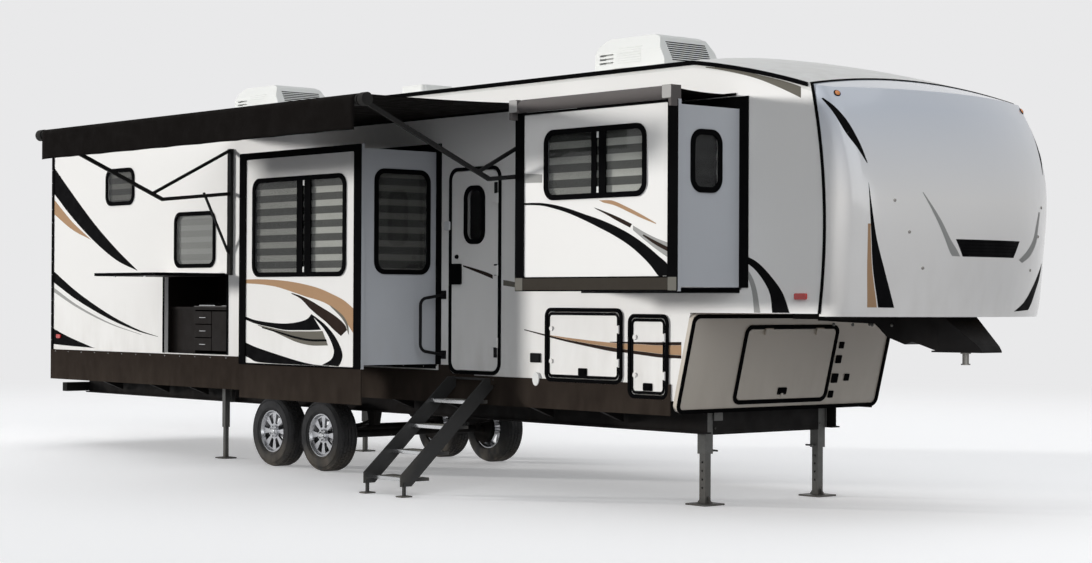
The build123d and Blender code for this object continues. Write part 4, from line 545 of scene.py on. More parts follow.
def dress_nodes():
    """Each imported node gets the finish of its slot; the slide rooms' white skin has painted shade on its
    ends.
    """
    for name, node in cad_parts.items():
        for spot in node.material_slots:
            finish = NODE_FINISH[spot.material.name.split(".")[0]]
            if finish is white and "slide" in name:
                finish = slide_skin
            spot.link = "OBJECT"
            spot.material = finish.material


# Stripes: films on the walls, the slide rooms and the cap, and a painted shadow under the gutter. Heights are
# from the ground.

REAR_X = -12.20
LIVING_Y, BEDROOM_Y = -2.082, -1.919
# How far a second film lies over the first
OVER = 0.0008
PANEL_1 = (-6.834, -5.106)
PANEL_2 = (-2.984, -1.306)
PANEL_2_LOW = 1.862

# name, body, face y, finish, upper edge, lower edge
WALL_STRIPES = (
    ("rear_wedge", "trailer", -WALL_Y, film_black,
     ((REAR_X, 3.20), (-11.75, 2.87), (-11.25, 2.52), (-10.75, 2.22), (-10.30, 1.985)),
     ((REAR_X, 2.90), (-11.75, 2.60), (-11.25, 2.32), (-10.75, 2.10), (-10.30, 1.980))),
    ("rear_gold", "trailer", -WALL_Y, film_tan,
     ((REAR_X, 2.83), (-11.75, 2.55), (-11.35, 2.352)),
     ((REAR_X, 2.66), (-11.75, 2.46), (-11.30, 2.330))),
    ("rear_line_upper", "trailer", -WALL_Y, film_black,
     ((REAR_X, 2.00), (-11.6, 1.74), (-10.9, 1.50), (-10.3, 1.345), (-9.86, 1.270)),
     ((REAR_X, 1.87), (-11.6, 1.65), (-10.9, 1.45), (-10.3, 1.325), (-9.86, 1.266))),
    ("rear_line_lower", "trailer", -WALL_Y, film_grey,
     ((REAR_X, 1.81), (-11.6, 1.595), (-10.9, 1.41), (-10.2, 1.285)),
     ((REAR_X, 1.76), (-11.6, 1.565), (-10.9, 1.395), (-10.2, 1.281))),
    ("rear_foot", "trailer", -WALL_Y, film_black,
     ((REAR_X, 1.335), (-11.8, 1.235), (-11.28, 1.130)),
     ((REAR_X, 1.150), (-11.8, 1.135), (-11.20, 1.120))),
    ("living_tan", "living_slide", LIVING_Y, film_tan,
     ((PANEL_1[0], 1.858), (-6.563, 1.859), (-6.233, 1.846), (-5.942, 1.819), (-5.657, 1.776),
      (-5.424, 1.717),
      (-5.256, 1.664), (PANEL_1[1], 1.590)),
     ((PANEL_1[0], 1.822), (-6.596, 1.812), (-6.347, 1.791), (-6.102, 1.749), (-5.861, 1.701),
      (-5.594, 1.654),
      (-5.423, 1.597), (-5.285, 1.526), (PANEL_1[1], 1.369))),
    ("living_tan_inner", "living_slide", LIVING_Y - OVER, film_dim,
     ((-5.470, 1.623), (-5.346, 1.570), (-5.255, 1.518), (-5.194, 1.447), (-5.178, 1.359)),
     ((-5.454, 1.606), (-5.361, 1.553), (-5.285, 1.504), (-5.224, 1.447), (-5.193, 1.377))),
    ("living_shade", "living_slide", LIVING_Y, film_brown,
     ((-6.069, 1.731), (-5.909, 1.700), (-5.750, 1.655), (-5.593, 1.600), (-5.454, 1.552), (-5.331, 1.500),
      (-5.239, 1.446), (-5.208, 1.403)),
     ((-6.085, 1.726), (-5.925, 1.676), (-5.781, 1.590), (-5.655, 1.528), (-5.530, 1.471), (-5.421, 1.409),
      (-5.344, 1.370), (-5.299, 1.349))),
    ("living_underline", "living_slide", LIVING_Y, film_black,
     ((PANEL_1[0], 1.508), (-6.677, 1.478), (-6.426, 1.457), (-6.180, 1.450), (-5.970, 1.466),
      (-5.827, 1.495),
      (-5.757, 1.541)),
     ((PANEL_1[0], 1.480), (-6.677, 1.445), (-6.426, 1.415), (-6.179, 1.391), (-5.970, 1.391),
      (-5.779, 1.394),
      (-5.607, 1.400))),
    ("living_low_band", "living_slide", LIVING_Y, film_dim,
     ((-6.626, 1.434), (-6.393, 1.406), (-6.147, 1.382), (-5.938, 1.382), (-5.747, 1.384), (-5.583, 1.389)),
     ((-6.626, 1.427), (-6.392, 1.379), (-6.162, 1.322), (-5.969, 1.279), (-5.746, 1.256), (-5.497, 1.261))),
    ("living_low_line", "living_slide", LIVING_Y - OVER, film_black,
     ((-6.558, 1.414), (-6.293, 1.378), (-6.032, 1.338), (-5.777, 1.314), (-5.527, 1.316)),
     ((-6.558, 1.404), (-6.292, 1.362), (-6.032, 1.318), (-5.777, 1.294), (-5.512, 1.297))),
    ("living_hook", "living_slide", LIVING_Y, film_black,
     ((-5.757, 1.539), (-5.670, 1.505), (-5.530, 1.439), (-5.406, 1.356), (-5.313, 1.259), (-5.274, 1.180),
      (-5.296, 1.118), (-5.334, 1.077)),
     ((-5.760, 1.530), (-5.686, 1.488), (-5.568, 1.415), (-5.474, 1.325), (-5.420, 1.249), (-5.407, 1.195),
      (-5.449, 1.136), (-5.588, 1.084))),
    ("living_foot", "living_slide", LIVING_Y, film_black,
     ((PANEL_1[0], 1.264), (-6.658, 1.224), (-6.423, 1.183), (-6.177, 1.143), (-5.935, 1.107),
      (-5.700, 1.084),
      (-5.480, 1.080)),
     ((PANEL_1[0], 1.138), (-6.758, 1.116), (-6.639, 1.086), (-6.340, 1.078), (-6.015, 1.077),
      (-5.776, 1.076),
      (-5.480, 1.076))),
    ("bedroom_swoosh", "bedroom_slide", BEDROOM_Y, film_black,
     ((PANEL_2[0], 2.464), (-2.789, 2.459), (-2.605, 2.437), (-2.424, 2.399), (-2.246, 2.352),
      (-2.070, 2.307),
      (-1.897, 2.252), (-1.727, 2.186), (-1.559, 2.103), (-1.415, 2.017), (PANEL_2[1], 1.943),
      (PANEL_2[1], PANEL_2_LOW)),
     ((PANEL_2[0], 2.448), (-2.789, 2.438), (-2.642, 2.414), (-2.448, 2.368), (-2.245, 2.303),
      (-2.070, 2.240),
      (-1.897, 2.174), (-1.726, 2.094), (-1.591, 2.011), (-1.491, 1.937), (-1.410, PANEL_2_LOW),
      (-1.360, PANEL_2_LOW))),
    ("bedroom_line", "bedroom_slide", BEDROOM_Y, film_brown,
     ((-2.141, 2.404), (-2.013, 2.368), (-1.863, 2.321), (-1.705, 2.263)),
     ((-2.117, 2.390), (-2.012, 2.350), (-1.874, 2.292), (-1.727, 2.236))),
    ("bedroom_line_low", "bedroom_slide", BEDROOM_Y, film_grey,
     ((-1.693, 2.251), (-1.559, 2.194), (-1.438, 2.150), (PANEL_2[1], 2.112)),
     ((-1.693, 2.216), (-1.570, 2.141), (-1.437, 2.066), (PANEL_2[1], 2.000))),
    ("bedroom_line_core", "bedroom_slide", BEDROOM_Y - OVER, film_brown,
     ((-1.575, 2.180), (-1.437, 2.127), (PANEL_2[1], 2.079)),
     ((-1.585, 2.172), (-1.448, 2.102), (PANEL_2[1], 2.045))),
    ("bedroom_tan", "bedroom_slide", BEDROOM_Y, film_tan,
     ((-2.083, 2.458), (-1.933, 2.451), (-1.773, 2.400), (-1.604, 2.335), (-1.438, 2.264)),
     ((-2.036, 2.439), (-1.898, 2.411), (-1.750, 2.360), (-1.604, 2.308), (-1.438, 2.257))),
    ("bedroom_bar", "bedroom_slide", BEDROOM_Y, film_grey,
     ((PANEL_2[0], 2.705), (-2.764, 2.688)),
     ((PANEL_2[0], 2.628), (-2.764, 2.622))),
    ("front_swoosh", "trailer", -WALL_Y, film_black,
     ((-1.185, 2.030), (-1.048, 1.975), (-0.914, 1.876), (-0.781, 1.739), (-0.707, 1.585)),
     ((-1.185, 1.985), (-1.069, 1.916), (-0.967, 1.817), (-0.908, 1.720), (-0.886, 1.585))),
    ("front_swoosh_inner", "trailer", -WALL_Y, film_grey,
     ((-1.185, 1.950), (-1.105, 1.870), (-1.050, 1.760), (-1.010, 1.585)),
     ((-1.185, 1.905), (-1.130, 1.830), (-1.095, 1.730), (-1.075, 1.585))),
    # Painted shadow of the gutter: a dim band under the roof edge where it falls towards the cap
    ("gutter_shadow", "trailer", -WALL_Y, film_dim,
     ((-1.610, 3.520), (-1.450, 3.500), (-1.235, 3.462), (-1.022, 3.410), (-0.814, 3.358), (-0.680, 3.318),
      (-0.600, 3.290)),
     ((-1.610, 3.512), (-1.450, 3.482), (-1.235, 3.434), (-1.043, 3.381), (-0.855, 3.313), (-0.700, 3.250),
      (-0.600, 3.206))),
    ("door_line", "entry_door", DOOR_Y, film_brown,
     ((-4.640, 1.985), (-4.512, 1.962), (-4.329, 1.924), (-4.222, 1.896)),
     ((-4.640, 1.972), (-4.511, 1.938), (-4.329, 1.890), (-4.222, 1.860))),
    ("door_line_front", "trailer", -WALL_Y, film_dim,
     ((-4.085, 1.850), (-3.968, 1.836), (-3.873, 1.818)),
     ((-4.085, 1.802), (-3.967, 1.790), (-3.873, 1.779))),
)

# Lines that cross the wall and both baggage doors: body, face y, rear x, front x
WAIST_SPANS = (
    ("trailer", -WALL_Y, -3.800, -3.484), ("baggage_door_rear", DOOR_Y, -3.476, -2.594),
    ("trailer", -WALL_Y, -2.586, -2.449), ("baggage_door_front", DOOR_Y, -2.441, -2.052),
    ("trailer", -WALL_Y, -2.044, -1.870),
)
# finish, upper edge, lower edge
WAIST_LINES = (
    ("main", film_brown,
     ((-3.809, 1.425), (-3.480, 1.377), (-3.261, 1.346), (-2.946, 1.312), (-2.676, 1.288), (-2.519, 1.274),
      (-2.341, 1.262), (-2.107, 1.247), (-1.855, 1.238)),
     ((-3.809, 1.417), (-3.480, 1.362), (-3.261, 1.328), (-2.946, 1.286), (-2.676, 1.254), (-2.519, 1.247),
      (-2.341, 1.234), (-2.107, 1.217), (-1.855, 1.213))),
    ("tan", film_tan,
     ((-3.480, 1.380), (-3.261, 1.362), (-2.946, 1.340), (-2.676, 1.326), (-2.519, 1.321), (-2.341, 1.318),
      (-2.107, 1.314), (-1.855, 1.320)),
     ((-3.480, 1.378), (-3.261, 1.347), (-2.946, 1.313), (-2.676, 1.289), (-2.519, 1.275), (-2.341, 1.263),
      (-2.107, 1.248), (-1.855, 1.239))),
    ("upper", film_brown,
     ((-2.700, 1.334), (-2.580, 1.336), (-2.341, 1.338), (-2.108, 1.340), (-1.855, 1.346)),
     ((-2.700, 1.329), (-2.580, 1.324), (-2.341, 1.319), (-2.107, 1.315), (-1.855, 1.321))),
)

# Stripes of the cap as rows of (x, y, z) in the frame; sides says what y is multiplied by
CAP_STRIPES = (
    ("cap_upper", film_black, 2, (1, -1),
     ((-0.399, -1.213, 2.000), (-0.295, -1.196, 1.886), (-0.193, -1.170, 1.730), (-0.122, -1.122, 1.616),
      (-0.073, -1.074, 1.508)),
     ((-0.384, -1.210, 2.002), (-0.285, -1.182, 1.931), (-0.190, -1.140, 1.817), (-0.116, -1.100, 1.664),
      (-0.070, -1.070, 1.512))),
    ("cap_tan", film_tan, 2, (1,),
     ((-0.058, -1.080, 1.060), (-0.059, -1.078, 0.983), (-0.078, -1.063, 0.720), (-0.100, -1.036, 0.440)),
     ((-0.047, -1.062, 1.060), (-0.049, -1.058, 0.983), (-0.058, -1.029, 0.720), (-0.065, -0.968, 0.440))),
    ("cap_dark", film_black, 3, (1,),
     ((-0.054, -1.079, 1.362), (-0.045, -1.073, 1.190), (-0.048, -1.054, 0.983), (-0.057, -1.023, 0.720),
      (-0.062, -0.958, 0.440)),
     ((-0.054, -1.077, 1.362), (-0.037, -1.056, 1.172), (-0.026, -1.015, 0.946), (-0.012, -0.945, 0.721),
      (-0.007, -0.839, 0.438))),
    ("cap_wedge", film_black, 3, (1,),
     ((-0.043, 1.016, 0.792), (0.008, 0.901, 0.710), (0.047, 0.771, 0.598), (0.076, 0.629, 0.487),
      (0.109, 0.457, 0.412)),
     ((-0.052, 1.030, 0.792), (-0.031, 0.965, 0.675), (-0.008, 0.880, 0.575), (0.010, 0.812, 0.479),
      (0.028, 0.748, 0.424))),
    ("cap_diagonal_near", film_grey, 2, (1,),
     ((0.118, -0.667, 1.300), (0.163, -0.577, 1.124), (0.184, -0.509, 0.991), (0.191, -0.447, 0.873),
      (0.193, -0.413, 0.828)),
     ((0.121, -0.660, 1.300), (0.176, -0.534, 1.110), (0.199, -0.445, 0.962), (0.207, -0.372, 0.874),
      (0.207, -0.336, 0.826))),
    ("cap_diagonal_far", film_grey, 2, (1,),
     ((0.081, 0.807, 1.198), (0.116, 0.727, 1.085), (0.139, 0.657, 0.973), (0.169, 0.540, 0.884),
      (0.192, 0.408, 0.811)),
     ((0.066, 0.845, 1.198), (0.095, 0.782, 1.071), (0.108, 0.738, 0.952), (0.142, 0.615, 0.847),
      (0.175, 0.469, 0.789))),
)

# How far the left copies of the first wall stripes sit lower, to pass below the rear window
LEFT_DROPS = (0.45, 0.45, 0, 0, 0)
WAIST_STEPS = 160
CUT_MARGIN = 0.002
CAP_STEPS = 40
CAP_CORE_X = -2.0


def stripe_walls():
    for name, body, face, finish, upper, lower in WALL_STRIPES:
        piece(ribbon(raised(upper), raised(lower), on_plane_y(face)), "stripe_" + name, finish, body)
    for drop, (name, _, _, finish, upper, lower) in zip(LEFT_DROPS, WALL_STRIPES):
        edges = [raised([(x, height - drop) for x, height in edge]) for edge in (upper, lower)]
        piece(ribbon(*edges, on_plane_y(WALL_Y, 1)), "stripe_left_" + name, finish)
    for name, finish, upper, lower in WAIST_LINES:
        edges = [through([(x, height, 0) for x, height in edge], WAIST_STEPS) for edge in (upper, lower)]
        for index, (body, face, rear, front) in enumerate(WAIST_SPANS):
            start, end = max(rear, upper[0][0]), min(front, upper[-1][0])
            if start < end:
                film = ribbon(*[cut_line(edge, start, end) for edge in edges], on_plane_y(face), across=1)
                piece(film, f"stripe_waist_{name}_{index}", finish, body)


def cut_line(samples, start, end):
    """The part of a line between two x, as (x, z) in the frame."""
    inside = [(spot.x, spot.y) for spot in samples if start + CUT_MARGIN < spot.x < end - CUT_MARGIN]
    return raised([(start, height_at(samples, start)), *inside, (end, height_at(samples, end))])


def height_at(samples, x):
    """The line's height at x, between its samples."""
    for a, b in zip(samples, samples[1:]):
        if a.x <= x <= b.x:
            return between((a.y, b.y), (x - a.x) / (b.x - a.x))
    return samples[0].y if x < samples[0].x else samples[-1].y


def stripe_cap():
    tree = mesh_tree("front_cap")

    def lay(spot, out):
        found, normal, _, _ = tree.find_nearest(spot)
        if normal.dot(found - Vector((CAP_CORE_X, 0, found.z))) < 0:
            normal = -normal
        return found + normal * out

    for name, finish, across, sides, first, second in CAP_STRIPES:
        for side in sides:
            edges = [through([(x, side * y, z) for x, y, z in edge], CAP_STEPS) for edge in (first, second)]
            label = "right" if side > 0 else "left"
            piece(film_between(*edges, lay, across), f"stripe_{name}_{label}", finish)


# Cloth

CLOTH_T = 0.0012
AWNING_X = (-8.40, -3.33)
AWNING_WALL = (-1.236, 2.144)
# y, z, radius
ROLLER = (-3.330, 2.050, 0.048)
ROLLER_GAP = 0.002
AWNING_SAG = 0.028
AWNING_SAG_ENDS = 0.55
AWNING_ROWS, AWNING_STEPS, WRAP_STEPS, DROP_STEPS = 96, 24, 6, 10
VALANCE_LOW_Z = 1.815
RIPPLE, RIPPLES = 0.002, 26
SCALLOP, SCALLOPS = 0.004, 9
HEM_R = 0.003


def cloth_piece(form, name):
    """A single skin made thin cloth."""
    made = piece(form, name, awning_cloth, sharp=180)
    skin = made.modifiers.new("thickness", "SOLIDIFY")
    skin.thickness = CLOTH_T
    skin.offset = 0
    return made


def awning_path():
    """(y, z, slack, drop) from the wall rail over the roller and down the valance."""
    wall_y, wall_z = AWNING_WALL
    out_y, out_z, roller_r = ROLLER
    reach = roller_r + ROLLER_GAP
    path = []
    for step in range(AWNING_STEPS + 1):
        share = step / AWNING_STEPS
        y, z = between((wall_y, out_y), share), between((wall_z, out_z + reach), share)
        path.append((y, z, math.sin(math.pi * share), 0.0))
    for step in range(1, WRAP_STEPS + 1):
        turn = math.pi / 2 * step / WRAP_STEPS
        path.append((out_y - reach * math.sin(turn), out_z + reach * math.cos(turn), 0.0, 0.0))
    for step in range(1, DROP_STEPS + 1):
        share = step / DROP_STEPS
        path.append((out_y - reach, between((out_z, VALANCE_LOW_Z), share), 0.0, share))
    return path


def awning():
    """One cloth from the wall rail over the roller, ending in the hanging valance."""
    path = awning_path()
    rows = []
    for index in range(AWNING_ROWS + 1):
        share = index / AWNING_ROWS
        x = between(AWNING_X, share)
        sag = AWNING_SAG * between((AWNING_SAG_ENDS, 1), math.sin(math.pi * share))
        ripple = RIPPLE * math.sin(RIPPLES * math.pi * share)
        scallop = SCALLOP * abs(math.sin(SCALLOPS * math.pi * share))
        rows.append([(x, y - ripple * drop, z - sag * slack + scallop * drop ** 2)
                     for y, z, slack, drop in path])
    cloth = cloth_piece(grid_form(rows), "awning_sheet")
    edge = piece(Form().tube([row[-1] for row in rows], HEM_R, 8), "awning_hem", rubber)
    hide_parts("awning_fabric")


TOPPER_X = (-2.986, -1.304)
TOPPER_WALL = (-1.222, 2.088)
TOPPER_ROLLER = (-1.944, 2.0583, 0.052)
TOPPER_GAP = 0.001
TOPPER_SAG = 0.020
TOPPER_SAG_ENDS = 0.7
TOPPER_ROWS, TOPPER_STEPS = 32, 24
TOPPER_RAIL = ((TOPPER_X[0] - 0.03, TOPPER_X[1] + 0.03), (-WALL_Y - 0.012, -WALL_Y), (2.078, 2.100))
TOPPER_CAPS = ((-3.090, -2.992), (-1.298, -1.200))
CAP_INSET_LOW, CAP_INSET_HIGH, CAP_CORNER, CAP_COVER_T = 0.004, 0.002, 0.012, 0.003


def topper():
    """The cloth over the bedroom slide room, from the wall rail to the roller with the room out; the real
    cloth rolls up as the room goes in.
    """
    wall_y, wall_z = TOPPER_WALL
    roller_y, roller_z, roller_r = TOPPER_ROLLER
    rows = []
    for index in range(TOPPER_ROWS + 1):
        share = index / TOPPER_ROWS
        sag = TOPPER_SAG * between((TOPPER_SAG_ENDS, 1), math.sin(math.pi * share))
        row = []
        for step in range(TOPPER_STEPS + 1):
            t = step / TOPPER_STEPS
            z = between((wall_z, roller_z + roller_r + TOPPER_GAP), t) - sag * math.sin(math.pi * t)
            row.append((between(TOPPER_X, share), between((wall_y, roller_y), t), z))
        rows.append(row)
    cloth = cloth_piece(grid_form(rows), "topper_sheet")
    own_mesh(cloth)
    piece(Form().block(*TOPPER_RAIL), "topper_rail", black_trim, bevel=0.002)
    ends = Form()
    for x in TOPPER_CAPS:
        z = (roller_z - roller_r + CAP_INSET_LOW, roller_z + roller_r - CAP_INSET_HIGH)
        ends.plate(rounded(x, z, CAP_CORNER), on_plane_y(roller_y - roller_r), CLEAR, CAP_COVER_T)
    piece(ends, "topper_end_covers", end_paint, "bedroom_slide", bevel=0.001)


# Windows

STILE_EDGES = (-0.075, -0.012, 0.012, 0.075)


def middle_stiles(low, high):
    """Two slim stiles that meet at the middle of a span."""
    return tuple((low + high) / 2 + edge for edge in STILE_EDGES)


# Spans are of the glass, heights from the ground, stiles the edges of a slider's two meeting rails:
# name, body, axis it faces, side, glass face, (low, high) across, (low, high) height, stiles
WINDOWS = (
    ("living_front", "living_slide", "y", -1, 2.082, (-6.694, -5.256), (1.906, 2.774),
     (-5.990, -5.900, -5.868, -5.773)),
    ("living_end", "living_slide", "x", 1, -5.034, (-1.894, -1.321), (1.926, 2.814), None),
    ("bedroom_front", "bedroom_slide", "y", -1, 1.919, (-2.709, -1.569), (2.501, 3.014),
     (-2.167, -2.109, -2.080, -2.000)),
    ("bedroom_end", "bedroom_slide", "x", 1, -1.234, (-1.731, -1.446), (2.526, 2.959), None),
    ("offside_rear", "offside_slide", "y", 1, 1.980, (-9.824, -8.726), (1.926, 2.754),
     middle_stiles(-9.824, -8.726)),
    ("offside_front", "offside_slide", "y", 1, 1.980, (-7.474, -6.276), (1.926, 2.754),
     middle_stiles(-7.474, -6.276)),
    ("wall_rear", "trailer", "y", -1, WALL_Y, (-10.954, -10.396), (2.726, 3.084), None),
    ("wall_kitchen", "trailer", "y", -1, WALL_Y, (-9.504, -8.756), (2.026, 2.564), None),
    ("wall_left_rear", "trailer", "y", 1, WALL_Y, (-11.524, -10.776), (2.326, 2.834),
     middle_stiles(-11.524, -10.776)),
    ("wall_left_middle", "trailer", "y", 1, WALL_Y, (-4.674, -4.176), (2.476, 2.834), None),
    ("wall_left_front", "trailer", "y", 1, WALL_Y, (-2.724, -1.776), (2.376, 2.924),
     middle_stiles(-2.724, -1.776)),
    ("wall_back", "trailer", "x", -1, -12.210, (-0.474, 0.474), (2.276, 2.774), middle_stiles(-0.474, 0.474)),
)
# Shades other than the banded pale cloth; the darker copies on the slide rooms' end windows are painted
# shade, the rear wall window has a dim cloth
SHADE_FINISH = {
    "living_end": shade_dim, "bedroom_end": shade_dark, "wall_rear": shade_dim, "wall_kitchen": shade_plain,
}
SHADE_BACK = 0.020
SHADE_INSET = 0.008
SHADE_FOLD = 0.003
SHADE_ROW = 0.02
SHADE_COLUMNS = 4
STILE_LAP = 0.02
STILE_DEPTH = (0.0005, 0.0095)
CATCH_DEPTH = (0.0005, 0.006)
CATCH_HALF_H = 0.035
CATCH_INSET = 0.03
CATCH_GAP = 0.001
CATCH_R = 0.005
SCREEN_INSET = 0.004
SCREEN_DEPTH = (-0.0115, -0.0105)


def window_place(axis, side, face):
    """place(u, v, w): u across, v height in the frame, w outward from the glass face."""
    if axis == "y":
        return lambda u, v, w: Vector((u, side * face + side * w, v))
    return lambda u, v, w: Vector((face + side * w, u, v))


def corners(u, v):
    """A square-cornered outline."""
    return ((u[0], v[0]), (u[1], v[0]), (u[1], v[1]), (u[0], v[1]))


def dress_window(name, body, axis, side, face, span, height, stiles):
    """A shade behind the glass and, on a slider, its meeting rails, catches and insect screen."""
    place = window_place(axis, side, face)
    low, high = lifted(height)
    u = (span[0] + SHADE_INSET, span[1] - SHADE_INSET)
    v = (low + SHADE_INSET, high - SHADE_INSET)
    count = 2 * int((high - low) / SHADE_ROW)
    rows = []
    for index in range(count + 1):
        level = between(v, index / count)
        depth = -SHADE_BACK - SHADE_FOLD * math.cos(2 * math.pi * level / SHADE_PITCH)
        rows.append([place(between(u, step / SHADE_COLUMNS), level, depth)
                     for step in range(SHADE_COLUMNS + 1)])
    shade = piece(grid_form(rows), "shade_" + name, SHADE_FINISH.get(name, shade_cloth), body, sharp=180)
    if not stiles:
        return
    bars = Form()
    for pair in (stiles[:2], stiles[2:]):
        bars.plate(corners(pair, (low - STILE_LAP, high + STILE_LAP)), place, *STILE_DEPTH)
    piece(bars, "stiles_" + name, black_trim, body, bevel=0.001)
    catches = Form()
    gap = (stiles[1] + CATCH_GAP, stiles[2] - CATCH_GAP)
    for level in (low + CATCH_INSET, high - CATCH_INSET):
        outline = rounded(gap, (level - CATCH_HALF_H, level + CATCH_HALF_H), CATCH_R)
        catches.plate(outline, place, *CATCH_DEPTH)
    piece(catches, "catches_" + name, cover, body, bevel=0.001)
    outline = corners((span[0] + SCREEN_INSET, stiles[0]), (low + SCREEN_INSET, high - SCREEN_INSET))
    piece(Form().plate(outline, place, *SCREEN_DEPTH), "screen_" + name, screen, body)


def dress_windows():
    for row in WINDOWS:
        dress_window(*row)


# Running gear

WHEELS = {
    "front_right": (-6.930, -1), "front_left": (-6.930, 1),
    "rear_right": (-7.780, -1), "rear_left": (-7.780, 1),
}
WHEEL_Y = 1.050
TYRE_R = 0.352
TYRE_HALF_W = 0.115
AXLE_Z = GROUND + TYRE_R
TREAD_R = TYRE_R - 0.008
# One flank of the tyre: radius, distance in from its side
FLANK = ((0.2085, 0.022), (0.222, 0.006), (0.262, 0.0), (0.300, 0.003), (0.326, 0.012), (0.338, 0.026),
         (TREAD_R, 0.042))
# Low and high side of a row of blocks, its shift by a share of a block, the fall at its outer edge
TREAD_ROWS = ((-0.092, -0.066, 0.0, 0.010), (-0.058, -0.024, 0.5, 0.0), (-0.016, 0.016, 0.0, 0.0),
              (0.024, 0.058, 0.5, 0.0), (0.066, 0.092, 0.0, 0.010))
TREAD_EDGE = 0.09
TREAD_STEPS = 60
TREAD_SHARE = 0.84
TREAD_SINK = 0.004
TREAD_INSET = 0.0003
TYRE_STEPS, BEAD_STEPS = 96, 72
BEAD_RINGS = (0.232, 0.312)
BEAD_PROFILE = ((-0.002, -0.004), (0.002, -0.004), (0.001, 0.0005), (-0.001, 0.0005))


def tyre_form(centre, side):
    """A road tyre: shouldered carcass with four grooves and rows of tread blocks."""
    near = [(radius, inset - TYRE_HALF_W) for radius, inset in FLANK]
    far = [(radius, -along) for radius, along in reversed(near)]
    form = Form().lathe([*near, (TREAD_R, 0.0), *far], centre, TYRE_STEPS)
    pitch = 2 * math.pi / TREAD_STEPS
    for low, high, shift, fall in TREAD_ROWS:
        for step in range(TREAD_STEPS):
            start = pitch * (step + shift)
            block = []
            for turn in (start, start + pitch * TREAD_SHARE):
                for along in (low, high):
                    block.append(turned(centre, "y", TREAD_R - TREAD_SINK - fall, along, turn))
            for turn in (start, start + pitch * TREAD_SHARE):
                for along in (low, high):
                    lean = fall if abs(along) > TREAD_EDGE else 0.0
                    block.append(turned(centre, "y", TYRE_R - TREAD_INSET - lean, along, turn))
            form.add(block, BOX_SIDES)
    for ring_r in BEAD_RINGS:
        form.lathe([(ring_r + r, side * (TYRE_HALF_W + out)) for r, out in BEAD_PROFILE], centre, BEAD_STEPS)
    return form


RIM_FACE_Y = 0.066
NUT_CIRCLE_R = 0.046
NUTS, NUT_SIDES, HUB_SIDES = 6, 6, 28
NUT_PROFILE = ((TIP_R, 0.034), (0.008, 0.033), (0.010, 0.028), (0.010, 0.012), (TIP_R, 0.012))
HUB_PROFILE = ((TIP_R, 0.100), (0.020, 0.098), (0.028, 0.090), (0.030, 0.080), (TIP_R, 0.080))
VALVE_R = 0.176
VALVE_TURN = math.radians(200)
VALVE_FOOT, VALVE_TIP, VALVE_STEM_R = -0.002, 0.024, 0.004


def hub_form(centre, side):
    """Wheel nuts, a centre cap and a valve on the rim's outer face."""
    form = Form()
    for turn in turns(NUTS):
        spot = turned(centre, "y", NUT_CIRCLE_R, side * RIM_FACE_Y, turn + math.pi / NUTS)
        form.knob([(radius, side * along) for radius, along in NUT_PROFILE], spot, NUT_SIDES)
    form.knob([(radius, side * along) for radius, along in HUB_PROFILE], centre, HUB_SIDES)
    ends = [turned(centre, "y", VALVE_R, side * (RIM_FACE_Y + along), VALVE_TURN)
            for along in (VALVE_FOOT, VALVE_TIP)]
    return form.rod(*ends, VALVE_STEM_R, 10)


def running_gear():
    for name, (x, side) in WHEELS.items():
        centre = (x, side * WHEEL_Y, AXLE_Z)
        tread = piece(tyre_form(centre, side), "tread_" + name, tyre_rubber, "wheel_" + name)
        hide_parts("tyre_" + name)
        piece(hub_form(centre, side), "nuts_" + name, bright, "wheel_" + name, bevel=0.0006)


# Body fittings

# name, side, x, height from the ground, wiper width
SLIDE_SEALS = (
    ("living", -1, (-6.906, -5.034), (1.094, 3.011), 0.074),
    ("bedroom", -1, (-3.056, -1.234), (1.779, 3.162), 0.094),
    ("offside", 1, (-10.116, -5.684), (1.094, 3.011), 0.074),
)
SEAL_GAP, SEAL_SILL, SEAL_T = 0.003, 0.040, 0.010


def slide_seals():
    """Rubber wipers on the wall around each slide room."""
    for name, side, x, height, width in SLIDE_SEALS:
        low, high = lifted(height)
        rear, front, low, high = x[0] - SEAL_GAP, x[1] + SEAL_GAP, low - SEAL_GAP, high + SEAL_GAP
        y = sorted((side * WALL_Y, side * (WALL_Y + SEAL_T)))
        form = Form()
        form.block((rear - width, rear), y, (low, high + width))
        form.block((front, front + width), y, (low, high + width))
        form.block((rear, front), y, (low - SEAL_SILL, low))
        form.block((rear, front), y, (high, high + width))
        piece(form, "seal_" + name, rubber, bevel=0.002)


# Domes are a radius and a height
MARKER_AT, MARKER, MARKER_RING = (-0.323, 1.123, 2.039), (0.022, 0.014), (0.029, 0.006)
CAP_STUDS, STUD = ((0.042, 0.893, 1.235), (0.092, 0.785, 1.002), (0.113, 0.656, 0.735)), (0.012, 0.008)
# Half widths and heights in the frame of the cap's vent, from its top to its foot
VENT_HALF, VENT_Z = (0.39, 0.31), (0.955, 0.825)
SLAT_HALF = (0.36, 0.30)
SLATS, SLATS_START, SLATS_END = 5, 0.75, 0.5
SLAT_R = 0.0026
SLAT_LIFT = 0.0002
VENT_ROWS, VENT_COLUMNS, SLAT_STEPS = 8, 24, 20
CAST_FROM_X = 2.0


def facing_ahead(normal):
    return normal if normal.x > 0 else -normal


